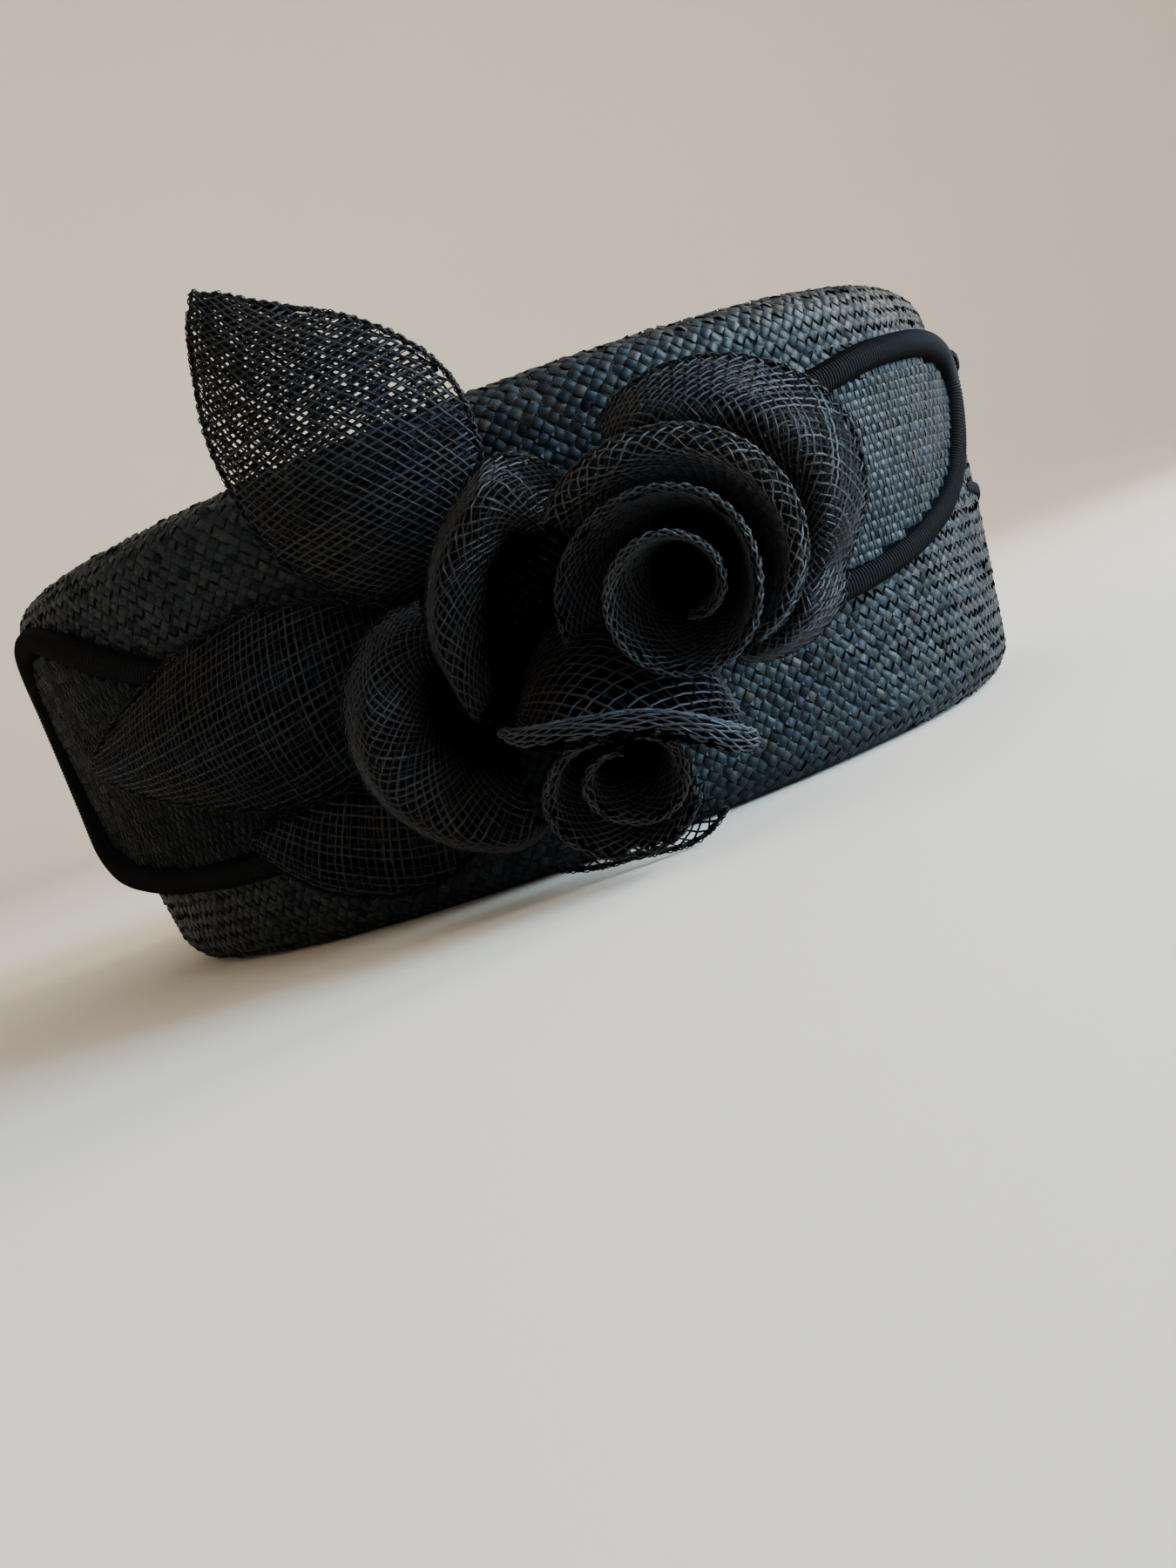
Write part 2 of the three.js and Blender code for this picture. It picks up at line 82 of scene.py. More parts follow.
# Ribbon routes along the wall: turn in degrees, height, lift off the wall
RIBBON_ROUTES = {
    "ribbon_front_loop": [
        [44, 80, 0.5], [54, 82.7, 1.4], [63, 85.7, 2.5], [70.5, 86.7, 3.4], [77.3, 86, 3.9],
        [82.5, 82.3, 3.8], [84.1, 74.6, 2.9], [82.7, 66, 1.9], [79.7, 57.9, 1.2], [75, 50.5, 0.7],
        [68.7, 44.7, 0.4], [61.6, 40.8, 0.3], [54, 38.6, 0.3], [44, 37.5, 0.3],
    ],
    "ribbon_back_loop": [
        [-6, 61, 0.3], [-14, 67, 1], [-22.6, 75, 2], [-30.5, 83.6, 2.5], [-36.6, 89.9, 2], [-43, 94, 1],
        [-50, 92.5, 1], [-55.5, 85, 1.5], [-57.5, 70, 3], [-57.5, 52, 5], [-56.2, 39.5, 6.3],
        [-52, 32.2, 5.5], [-45, 28.2, 3.5], [-36, 25.6, 2], [-24, 23.6, 0.8], [-12, 24, 0.3],
        [-2, 25.5, 0.3],
    ],
    "ribbon_far_upper": [
        [86.8, 80.3, 3.4], [100, 83.2, 2.2], [125, 86, 0.5], [160, 87.4, 0.5], [195, 88.3, 0.5],
        [230, 88.9, 0.5], [265, 88.8, 0.5], [300, 88, 0.5],
    ],
    "ribbon_far_lower": [
        [84.6, 49.8, 0.5], [108, 46.2, 0.5], [140, 43.2, 0.5], [180, 41, 0.5], [220, 39, 0.5],
        [260, 37.3, 0.5], [300, 36, 0.5],
    ],
}

# Straw panels inside the ribbon loops: turn, lower and upper height, lower and upper lift off the wall
PANELS = {
    "panel_front": [
        [45, 41.6, 76, 1.4, 1.4], [54, 42.6, 78.6, 1.4, 2.3], [62, 45.2, 81.4, 1.4, 3.3],
        [69, 49.7, 82.5, 1.5, 4.2], [75, 55.6, 81.8, 1.8, 4.7], [78.8, 63, 80.1, 2.4, 4.7],
        [81.1, 68.2, 77.8, 3, 4.4], [81.9, 72, 75.5, 3.5, 4],
    ],
    "panel_back": [
        [-5, 29.2, 56.8, 1.4, 1.4], [-14, 28, 62.2, 1.4, 1.8], [-24, 27.7, 71.3, 1.7, 3],
        [-34, 29.3, 82, 2.6, 3.3], [-43, 32, 89.3, 4, 2.2], [-48.7, 35.2, 87.8, 5.4, 2.2],
        [-52.9, 40.6, 81.5, 6.6, 3], [-55.3, 48.5, 71.5, 6, 4.2],
    ],
}

# Leaves along their spine on the wall: turn, height, half width, lift off the wall, drop of the edges
LEAVES = {
    "leaf_upright": [
        [15, 68, 3.5, 0.9, 0], [13.4, 77, 15.2, 7, 3.2], [11.2, 88, 23.2, 12, 6.8], [8.9, 101, 26.5, 15, 9.2],
        [5.6, 118, 20.3, 14, 7.2], [3.6, 131, 10.5, 11, 3], [2.3, 142.3, 0.8, 9, 0],
    ],
    "leaf_back": [
        [10, 60, 4, 0.9, 0], [3, 58, 16, 9, 3.5], [-5, 57, 21.5, 14.5, 8.5], [-14, 57, 20, 14.5, 8.5],
        [-22, 57.3, 15, 12, 6], [-30.5, 58, 8.5, 9, 2.5], [-39, 59.3, 0.8, 7, 0],
    ],
    "leaf_low": [
        [9.5, 22, 4, 0.9, 0], [3.5, 21.5, 11, 6.5, 1.5], [-2, 21.5, 13, 9, 3.5], [-8.6, 23.6, 11, 9.5, 3.5],
        [-12.8, 26.6, 8, 8.5, 2.2], [-16, 30, 3.5, 7.5, 0.6], [-17.5, 31.5, 0.8, 7, 0],
    ],
}

# Where each petal's axis leaves the spray, along the wall and up it, and how the axis leans each way
UPPER_ROSE = (21.1, 7.3, -0.36, -0.07)
UPPER_LEFT = (-14.2, 12.6, -0.3, 0)
LOWER_ROSE = (-5.8, -17.7, -0.26, -0.21)
LOWER_LEFT = (-32.4, -5.4, -0.28, -0.1)

# Petals in sections round their axis: turn, foot radius, then radius and height of belly, crest and lip
UPPER_PETALS = {
    "rose_upper_heart": (UPPER_ROSE, [
        [262, 3.2, 3.6, 19, 4.5, 36, 5.2, 38.5],
        [327, 3.8, 4.6, 19, 6.0, 38, 6.9, 40.5],
        [392, 4.5, 5.9, 20, 8.8, 39, 9.8, 41.5],
        [457, 5.2, 7.6, 20, 12.2, 41, 13.2, 43.5],
        [522, 6.0, 8.8, 21, 13.4, 42, 14.5, 44.5],
        [587, 6.8, 9.8, 21, 13.8, 42, 15.0, 44.5],
        [652, 7.6, 10.4, 21, 13.8, 41, 15.0, 43.5],
        [717, 8.4, 11.0, 20, 13.9, 39, 15.1, 41.0],
        [782, 9.2, 13.0, 19, 18.4, 36.5, 19.6, 38.5],
        [847, 10.0, 15.0, 18, 21.4, 35, 22.7, 36.8],
        [912, 10.8, 18.0, 14.5, 26.4, 28.5, 28.2, 29.5],
    ]),
    "rose_upper_wrap": (UPPER_ROSE, [
        [300, 12.5, 14.6, 15, 16.6, 30, 18.2, 29],
        [341, 12.6, 16.0, 16, 19.6, 32, 22.0, 30],
        [382, 12.8, 18.0, 16, 23.4, 33, 26.6, 30.5],
        [423, 13.0, 19.0, 16, 26.6, 33, 30.2, 30.5],
        [464, 13.0, 19.5, 16, 27.6, 32, 31.2, 29],
        [502, 13.0, 20.0, 14, 28.4, 28, 31.8, 25.6],
    ]),
    "rose_upper_back_petal": (UPPER_ROSE, [
        [274, 15.5, 16.8, 9, 19.6, 16, 24.5, 6],
        [302, 15.5, 19.0, 11, 23.2, 20, 29.0, 6],
        [326, 15.5, 20.0, 11, 25.2, 19, 31.5, 5],
        [342, 15.5, 20.6, 9, 25.0, 14, 31.0, 4],
        [366, 15.5, 22.0, 12, 29.6, 20, 37.0, 4],
        [392, 15.5, 24.5, 14, 33.6, 23, 42.0, 6],
        [420, 15.5, 24.5, 14, 33.6, 24, 42.0, 8],
        [446, 15.5, 24.0, 13, 31.6, 23, 39.5, 9],
        [470, 15.5, 22.5, 11, 28.0, 19, 35.0, 8],
    ]),
    "rose_upper_left_petal": (UPPER_LEFT, [
        [58, 9, 11, 8, 17.5, 11, 24.0, 4],
        [84, 9, 12, 14, 21.0, 26, 28.0, 13],
        [108, 8.5, 10, 15, 17.5, 28, 23.5, 15],
        [134, 8, 9, 15, 15.5, 28, 20.8, 17],
        [160, 8, 9, 15, 15.2, 27, 20.2, 17.5],
        [188, 8.5, 10.5, 14, 17.3, 26, 22.5, 16.5],
        [212, 10, 14, 14, 21.2, 24, 25.5, 13],
        [232, 12, 21, 13, 27.5, 20, 29.8, 12],
    ]),
}
LOWER_PETALS = {
    "rose_lower_heart": (LOWER_ROSE, [
        [70, 2.8, 3.2, 18, 3.8, 35, 4.4, 37],
        [132, 3.4, 4.2, 18, 5.3, 36, 6.1, 38],
        [194, 4.0, 5.2, 18, 7.0, 37, 7.9, 39],
        [256, 4.6, 6.2, 18, 8.0, 37, 9.0, 39],
        [318, 5.2, 7.4, 18, 10.8, 37.5, 12.0, 39.5],
        [380, 5.8, 8.0, 18, 11.4, 38, 12.6, 40],
        [442, 6.4, 7.8, 18, 9.2, 39, 10.0, 41],
        [504, 7.0, 9.4, 18, 11.8, 39, 13.0, 41],
        [566, 7.6, 11.6, 18, 15.6, 36.5, 17.4, 38],
        [628, 8.2, 12.2, 18, 16.2, 36, 18.0, 37],
        [690, 8.8, 11.4, 18, 14.6, 36, 15.8, 37],
    ]),
    "rose_lower_hood": (LOWER_ROSE, [
        [-1, 21, 24.5, 20, 24.2, 37, 26.8, 36],
        [9, 21.5, 23.5, 22, 20.4, 40.8, 22.8, 40.2],
        [28, 21, 21, 22, 16.2, 43.4, 18.8, 43],
        [56, 21, 19.5, 22, 12.6, 44, 15.2, 43.5],
        [88, 22, 19.5, 22, 11.4, 44, 14.0, 43.5],
        [119, 22, 20.5, 22, 13.6, 42, 16.2, 41.5],
        [141, 21, 21, 20, 17.8, 37.4, 20.4, 36.5],
        [151, 20, 22, 17, 22.4, 31, 24.8, 29],
    ]),
    "rose_lower_left_petal": (LOWER_LEFT, [
        [106, 8, 14, 4.5, 20.0, 7, 24.0, 2],
        [126, 8, 13, 8.5, 21.5, 14, 27.0, 6],
        [150, 8, 11.5, 12, 20.5, 22, 28.5, 9],
        [174, 8, 11, 13, 20.5, 24, 29.5, 9],
        [200, 8, 11, 13, 21.5, 25, 31.0, 9],
        [226, 8, 11.5, 13, 22.0, 25, 32.0, 9],
        [250, 8, 13, 13, 23.5, 24, 33.0, 9],
        [270, 9, 15, 13, 25.0, 23, 32.5, 10],
        [284, 10, 17.5, 13, 24.6, 21, 28.2, 12],
    ]),
    "rose_lower_skirt": (LOWER_ROSE, [
        [223, 11, 18, 9, 26.0, 22, 30.5, 26.5],
        [232, 11, 17.5, 10, 24.6, 24, 27.8, 28],
        [244, 11, 17, 11, 22.0, 25, 24.2, 30],
        [260, 11, 16.5, 11, 20.4, 25, 22.0, 30],
        [276, 11, 16.5, 11, 20.4, 25, 22.0, 30],
        [294, 11, 17, 10, 22.0, 24, 24.4, 28],
        [314, 11, 16, 9, 21.0, 22, 25.0, 25.5],
    ]),
}

# The layers of a sinamay sheet, by kind: how far its strands are turned from the sheet's own angles, pitch as
# a share of the sheet's, width of a strand as a share of the pitch, tone, which is lowered as painted shade
# in the layers that lie behind or between, lift towards the side that shows, and the side that its strands
# face
LAYERS = {
    "petal": [(0, 1, 0.23, 1, 0.32, 1), (7, 1, 0.23, 0.45, -0.3, 1), (7, 1.6, 0.78, 0.1, -0.75, 1)],
    "hood": [(0, 1, 0.2, 1, 0.32, 1), (3, 1, 0.2, 0.25, -0.3, 1), (7, 1.4, 0.78, 0.05, -0.75, 1)],
    "coil": [(0, 1, 0.23, 1, 0.45, 1), (7, 1.6, 0.78, 0.08, 0, 1), (4, 1, 0.23, 1, -0.45, -1)],
    "cup": [(0, 1, 0.23, 1, 0.45, 1), (7, 1.6, 0.6, 0.09, 0, 1), (4, 1, 0.23, 0.8, -0.45, -1)],
    "full": [(0, 1, 0.25, 1, 0.32, 1), (6, 1, 0.25, 0.8, -0.25, 1), (7, 1.6, 0.78, 0.2, -0.75, 1)],
    "leaf": [(0, 1, 0.24, 1, 0.32, 1), (9, 1, 0.24, 0.5, -0.3, 1), (9, 1.6, 0.78, 0.08, -0.75, 1)],
    "sheer": [(0, 1, 0.27, 1, 0.5, 1), (10, 0.95, 0.42, 0.3, 0, 1), (-7, 0.9, 0.46, 0.15, -0.5, 1)],
    "open": [(0, 1, 0.22, 1, 0, 1)],
}

# How each sinamay sheet is laid: kind, angles of its two families of strands to its length, pitch as a share
# of the usual one, share of its width where the pitch is true, side that shows, how far up from its foot its
# painted shade reaches at its start and at its end, radius of its rolled edge, and tone, which on the wrap is
# raised as painted light in its shaded hollow
Sheet = namedtuple("Sheet", "kind angles pitch guide side dark roll tone")
SINAMAY_SHEETS = {
    "leaf_upright": Sheet("sheer", (14, 74), 0.76, 0.5, 1, (0.1, 0.1), 0.55, 0.52),
    "leaf_back": Sheet("leaf", (6, 82), 0.84, 0.5, 1, (0.1, 0.1), 0.55, 0.43),
    "leaf_low": Sheet("leaf", (-12, 70), 0.9, 0.5, 1, (0.1, 0.1), 0.55, 0.38),
    "rose_upper_heart": Sheet("coil", (34, -34), 0.85, 0.85, -1, (0.85, -0.05), 0.6, 0.52),
    "rose_upper_wrap": Sheet("cup", (30, -40), 0.85, 0.8, -1, (-0.3, 0.3), 0.55, 1.1),
    "rose_upper_back_petal": Sheet("full", (40, -46), 0.8, 0.75, -1, (0.1, 0.1), 0.55, 0.56),
    "rose_upper_left_petal": Sheet("petal", (32, -32), 0.85, 0.75, -1, (0.5, 0.5), 0.55, 0.46),
    "rose_lower_heart": Sheet("coil", (36, -36), 0.85, 0.85, -1, (0.8, 0.3), 0.6, 0.5),
    "rose_lower_hood": Sheet("hood", (45, -45), 1.14, 0.7, 1, (-0.2, -0.2), 2.15, 0.38),
    "rose_lower_left_petal": Sheet("petal", (30, -52), 0.85, 0.8, -1, (0.45, 0.45), 0.55, 0.5),
    "rose_lower_skirt": Sheet("open", (42, -42), 1, 0.8, 1, (-0.2, -0.2), 0.55, 0.4),
}

# Seeds for what chance gives: tones of straw strands, straw of wall, top and panels, leaves, roses
STRAND_SEED = 7
WALL_SEED = 11
TOP_SEED = 12
PANEL_SEED = 21
LEAF_SEED = 31
UPPER_SEED = 41
LOWER_SEED = 51

HALF_LENGTH = CROWN_LENGTH / 2
HALF_WIDTH = CROWN_WIDTH / 2
WALL_SLOPE = (1 - RIM_SHARE) / CROWN_HEIGHT
# Height of the top's middle, and radius and height of its shoulder
TOP_MIDDLE = CROWN_HEIGHT + TOP_RISE
SHOULDER = np.array([HALF_LENGTH * TOP_SHOULDER, CROWN_HEIGHT + TOP_RISE * (1 - TOP_SHOULDER ** 2)])
SHORTEST = 1e-9


def unit(vectors):
    """Vectors along the last axis, made one long."""
    return vectors / np.maximum(np.linalg.norm(vectors, axis=-1, keepdims=True), SHORTEST)


def added_up(steps):
    """The running total of steps, from 0."""
    return np.concatenate([[0.0], np.cumsum(steps)])


def run_along(path):
    """The length of a path up to each of its points."""
    return added_up(np.linalg.norm(np.diff(path, axis=0), axis=-1))


def spread_along(spread, run, rows):
    """Rows that belong to places of a run, at other places of it."""
    return np.stack([np.interp(spread, run, column) for column in rows.T], -1)


def smooth_rows(rows, s):
    """Smooth rows between the rows of a table: s runs from 0 at the first row to 1 at the last."""
    rows = np.asarray(rows, float)
    last = len(rows) - 1
    s = np.atleast_1d(s)
    i = np.clip(np.floor(s * last).astype(int), 0, last - 1)
    x = (s * last - i).reshape(-1, *[1] * (rows.ndim - 1))
    longer = np.concatenate([[2 * rows[0] - rows[1]], rows, [2 * rows[-1] - rows[-2]]])
    before, start, end, after = (longer[i + k] for k in range(4))
    bend = 2 * before - 5 * start + 4 * end - after
    twist = 3 * start - before - 3 * end + after
    return start + 0.5 * x * (end - before + x * (bend + x * twist))


def wall_share(height):
    """The oval of the wall at a height, as a share of the top oval."""
    return RIM_SHARE + WALL_SLOPE * height


def wall_normal(turn):
    """Directions out of the wall at turns in degrees."""
    angle = np.radians(turn)
    slope = np.full_like(angle, -WALL_SLOPE)
    return unit(np.stack([np.sin(angle) / HALF_LENGTH, -np.cos(angle) / HALF_WIDTH, slope], -1))


def front_dip(turn, height):
    """How far the wall falls back at the upper front."""
    front = np.maximum(np.sin(np.radians(turn)), 0)
    rise = np.maximum((height - FRONT_DIP_FROM) / (CROWN_HEIGHT - FRONT_DIP_FROM), 0)
    return FRONT_DIP * front ** FRONT_DIP_POWER * rise ** 2


def on_wall(turn, height, lift):
    """Points on the wall, or lifted off it."""
    angle = np.radians(turn)
    share = wall_share(height)
    x = HALF_LENGTH * share * np.sin(angle) - front_dip(turn, height)
    y = -HALF_WIDTH * share * np.cos(angle)
    return np.stack([x, y, height + np.zeros_like(x)], -1) + wall_normal(turn) * np.asarray(lift)[..., None]


# The spray's own frame: u along the wall to the front, v up the wall, w out of it
SPRAY_CENTRE = on_wall(np.array(SPRAY_TURN, float), SPRAY_HEIGHT, 0.0)
SPRAY_W = wall_normal(np.array(SPRAY_TURN, float))
SPRAY_U = unit(np.cross([0, 0, 1], SPRAY_W))
SPRAY_V = np.cross(SPRAY_W, SPRAY_U)
WALL_PASSES = 6


def drop_to_wall(u, v, lift):
    """The points of the wall straight behind places of the spray, lifted off the wall."""
    point = SPRAY_CENTRE + u[..., None] * SPRAY_U + v[..., None] * SPRAY_V
    half = np.array([HALF_LENGTH, HALF_WIDTH])
    for _ in range(WALL_PASSES):
        share = np.linalg.norm(point[..., :2] / half, axis=-1, keepdims=True)
        steep = np.full_like(share, -WALL_SLOPE)
        slope = np.concatenate([point[..., :2] / (half ** 2 * share), steep], -1)
        short = wall_share(point[..., 2:]) - share
        point = point + SPRAY_W * short / (slope @ SPRAY_W)[..., None]
    return point + SPRAY_W * lift


def rounded_corner(before, corner, after, radius):
    """The arc that rounds a corner of a profile."""
    back = unit(before - corner)
    ahead = unit(after - corner)
    half = math.acos(float(back @ ahead)) / 2
    centre = corner + unit(back + ahead) * radius / math.sin(half)
    start = corner + back * radius / math.tan(half) - centre
    turn = (math.pi - 2 * half) * np.sign(ahead[0] * back[1] - ahead[1] * back[0])
    angles = np.linspace(0, turn, EDGE_STEPS + 1)
    return [centre + (
        start[0] * math.cos(angle) - start[1] * math.sin(angle),
        start[0] * math.sin(angle) + start[1] * math.cos(angle),
    ) for angle in angles]


def crown_profile():
    """Radius and height of the straw's outer face, from the edge turned under the rim to the top's corner."""
    top = np.array([HALF_LENGTH, CROWN_HEIGHT])
    rim = np.array([HALF_LENGTH * RIM_SHARE, 0])
    edge = rim - (TURNED_UNDER, 0)
    return np.array([
        edge,
        *rounded_corner(edge, rim, top, RIM_RADIUS),
        *rounded_corner(rim, top, SHOULDER, TOP_EDGE_RADIUS),
    ])


def crown_points(turn, radius, height):
    """Points of the crown from turn, radius along the hat's length, and height."""
    angle = np.radians(turn)
    reach = np.minimum(radius / HALF_LENGTH, 1)
    x = radius * np.sin(angle) - reach * front_dip(turn, height)
    y = -radius * CROWN_WIDTH / CROWN_LENGTH * np.cos(angle)
    return np.stack([x, y, height + np.zeros_like(x)], -1)


class Cloth:
    """A surface on a grid of points: a runs along it and b across it, both in millimetres."""

    def __init__(self, points, guide=0.5, closed=False):
        self.points = points
        self.closed = closed
        along = np.gradient(points, axis=0)
        across = np.gradient(points, axis=1)
        self.normals = unit(np.cross(along, across))
        row = points[:, round(guide * (points.shape[1] - 1))]
        self.a = run_along(row)
        self.b = added_up(np.linalg.norm(np.diff(points, axis=1), axis=-1).mean(axis=0))
        self.length = self.a[-1]
        self.width = self.b[-1]

    def blend(self, grid, a, b):
        """Values of a grid between its points; a closed surface goes on at its start."""
        if self.closed:
            a = a % self.length
        i = np.interp(a, self.a, np.arange(len(self.a)))
        j = np.interp(b, self.b, np.arange(len(self.b)))
        low_i = np.minimum(i.astype(int), len(self.a) - 2)
        low_j = np.minimum(j.astype(int), len(self.b) - 2)
        x = (i - low_i)[..., None]
        y = (j - low_j)[..., None]
        near = grid[low_i, low_j] * (1 - x) + grid[low_i + 1, low_j] * x
        far = grid[low_i, low_j + 1] * (1 - x) + grid[low_i + 1, low_j + 1] * x
        return near * (1 - y) + far * y

    def at(self, a, b):
        """Places on the surface and directions out of it."""
        return self.blend(self.points, a, b), unit(self.blend(self.normals, a, b))

    def holds(self, a, b):
        """Which places lie on the surface."""
        return (a >= 0) & (a <= self.length) & (b >= 0) & (b <= self.width)


# Edges that turn further than this stay sharp
SMOOTH_BELOW = 100


class Parts:
    """Many small solids that are joined into one mesh."""

    def __init__(self):
        self.places = []
        self.faces = []
        self.shades = []
        self.grains = []
        self.count = 0

    def add(self, places, faces, shade, grain=None):
        """Adds points, faces by their own numbering, and a shade from 0 to 1 for each point."""
        self.places.append(places)
        self.faces.extend((one + self.count).tolist() for one in faces)
        self.shades.append(np.broadcast_to(shade, len(places)))
        self.grains.append(np.zeros((len(places), 3)) if grain is None else grain)
        self.count += len(places)

    def build(self, name, material, smooth_below=SMOOTH_BELOW):
        """The joined mesh as a new object at the origin."""
        mesh = bpy.data.meshes.new(name)
        faces = [face for group in self.faces for face in group]
        mesh.from_pydata((np.concatenate(self.places) * MM).tolist(), [], faces)
        shade = mesh.attributes.new("shade", "FLOAT", "POINT")
        shade.data.foreach_set("value", np.concatenate(self.shades).astype(np.float32))
        grain = mesh.attributes.new("grain", "FLOAT_VECTOR", "POINT")
        grain.data.foreach_set("vector", np.concatenate(self.grains).astype(np.float32).ravel())
        mesh.materials.append(material)
        piece = bpy.data.objects.new(name, mesh)
        bpy.context.collection.objects.link(piece)
        start_clean()
        piece.select_set(True)
        bpy.context.view_layer.objects.active = piece
        bpy.ops.object.shade_smooth_by_angle(angle=math.radians(smooth_below))
        return piece


def lattice(cloth, pitch, angles, drawn=1.0):
    """Where two families of strands cross on a cloth: their numbers and places, and a step along each."""
    ways = np.array([[math.cos(math.radians(angle)), math.sin(math.radians(angle))] for angle in angles])
    ways = ways * pitch / abs(np.linalg.det(ways)) * np.array([[drawn], [1 / drawn]])
    corners = np.array([[0, 0], [cloth.length, 0], [0, cloth.width], [cloth.length, cloth.width]])
    numbers = corners @ np.linalg.inv(ways)
    low = np.floor(numbers.min(axis=0)).astype(int)
    high = np.ceil(numbers.max(axis=0)).astype(int)
    i, j = np.meshgrid(np.arange(low[0], high[0] + 1), np.arange(low[1], high[1] + 1), indexing="ij")
    a = i * ways[0, 0] + j * ways[1, 0]
    b = i * ways[0, 1] + j * ways[1, 1]
    return i, j, a, b, ways


# A strand's section: how high its ridge and how low its flat face lie, as shares of its depth
STRAND_RIDGE = 0.6
STRAND_FLAT = 0.35
STRAND_SIDES = 3


def add_strands(parts, place, normal, keep, lift, width, depth, shade, face=1):
    """Strands along a grid of places, one for each of its columns, with a ridge on one face."""
    side = unit(np.cross(normal, np.gradient(place, axis=0)))
    centre = place + normal * lift[..., None]
    reach = side * width[None, :, None] * face / 2
    ridge = normal * depth * face * STRAND_RIDGE
    flat = normal * depth * face * STRAND_FLAT
    ring = np.stack([centre + reach - flat, centre + ridge, centre - reach - flat], axis=2)
    joined = keep[:-1] & keep[1:]
    none = np.zeros((1, keep.shape[1]), bool)
    before = np.concatenate([none, joined])
    after = np.concatenate([joined, none])
    used = before | after
    index = (np.cumsum(used).reshape(used.shape) - 1) * STRAND_SIDES
    start = index[:-1][joined]
    end = index[1:][joined]
    faces = []
    for k in range(STRAND_SIDES):
        n = (k + 1) % STRAND_SIDES
        faces.append(np.stack([start + k, start + n, end + n, end + k], axis=1))
    faces.append(index[used & ~before][:, None] + np.array([0, 2, 1]))
    faces.append(index[used & ~after][:, None] + np.array([0, 1, 2]))
    parts.add(ring[used].reshape(-1, 3), faces, np.repeat(shade[used], STRAND_SIDES))


# Painted shade on a strand where it passes under another: its tone there as a share of its tone above
UNDER_PAINTED_SHADE = 0.55
# How unevenly strands lie: from strand to strand as a share of the pitch, and at each crossing in millimetres
STRAND_UNEVEN = 0.07
STRAND_WANDER = 0.05
# Least and most width of a strand, as shares of the usual one
STRAND_WIDTHS = (0.72, 1.32)
# A strand's shade: what all have alike, and the shares that chance gives to each strand and to each crossing
STRAND_SHADES = (0.45, 0.35, 0.2)


def uneven_shade(rng, shares, size):
    """Shades by chance for a grid of strands, one strand for each of its columns."""
    alike, by_strand, by_crossing = shares
    return alike + by_strand * rng.random(size[1])[None, :] + by_crossing * rng.random(size)


def weave(parts, cloth, pitch, angles, width, depth, lift, rng, painted_light, inside=None, face=1):
    """Two families of strands that pass over and under each other on a cloth, with painted light and shade in
    their tone at each place.
    """
    i, j, a, b, ways = lattice(cloth, pitch, angles)
    aside = rng.normal(0, STRAND_UNEVEN, (i.shape[0], 1)), rng.normal(0, STRAND_UNEVEN, (1, i.shape[1]))
    a = a + aside[0] * ways[0, 0] + aside[1] * ways[1, 0] + rng.normal(0, STRAND_WANDER, a.shape)
    b = b + aside[0] * ways[0, 1] + aside[1] * ways[1, 1] + rng.normal(0, STRAND_WANDER, b.shape)
    keep = cloth.holds(a, b)
    if inside is not None:
        keep &= inside(a, b)
    place, normal = cloth.at(a, b)
    over = np.where((i + j) % 2 == 0, depth / 2, -depth / 2)
    light = painted_light(a, b)
    for turned, sign in ((False, 1), (True, -1)):
        raised = sign * over
        tone = light * np.where(raised * face >= 0, 1, UNDER_PAINTED_SHADE)
        grids = [place, normal, keep, lift + raised, tone]
        if turned:
            grids = [grid.swapaxes(0, 1) for grid in grids]
        tone = grids.pop()
        widths = width * rng.uniform(*STRAND_WIDTHS, tone.shape[1])
        shade = tone * uneven_shade(rng, STRAND_SHADES, tone.shape)
        add_strands(parts, *grids, widths, depth, shade, face)


# One flat strand where it shows between two crossings: places along and across it as shares of the pitch, and
# how high it lies there
FLOAT_ALONG = np.array([-0.64, -0.28, 0.28, 0.64])
FLOAT_ACROSS = np.array([0.4, 0.47, 0.47, 0.4])
FLOAT_ARCH = np.array([-1.1, 0.9, 0.9, -1.1])
FLOAT_TOP = np.array([[0, 2, 3, 1], [2, 4, 5, 3], [4, 6, 7, 5]])
FLOAT_UNDER = np.array([[0, 1, 3, 5, 7, 6, 4, 2]])
FLOAT_POINTS = 8
FLOAT_TILT = 0.15
# Least and most length and width of a float, as shares of the usual ones
FLOAT_LENGTHS = (0.96, 1.04)
FLOAT_WIDTHS = (0.9, 1.05)
# Shares of the strand's tone and of the float's own, and how far the streaks of floats differ
FLOAT_TONES = (0.55, 0.45)
FLOAT_STREAKS = 40
# Floats nearer to a cloth's end than this would lie on those at its start
FLOAT_SLACK = 1e-6

# Usual tones of both families of straw strands: share of the chance tone, and what is added to it
PLAIN_TONES = ((0.72, 0.15), (0.72, 0.15))
# More than any family of strands has on an open cloth
MOST_STRANDS = 5000


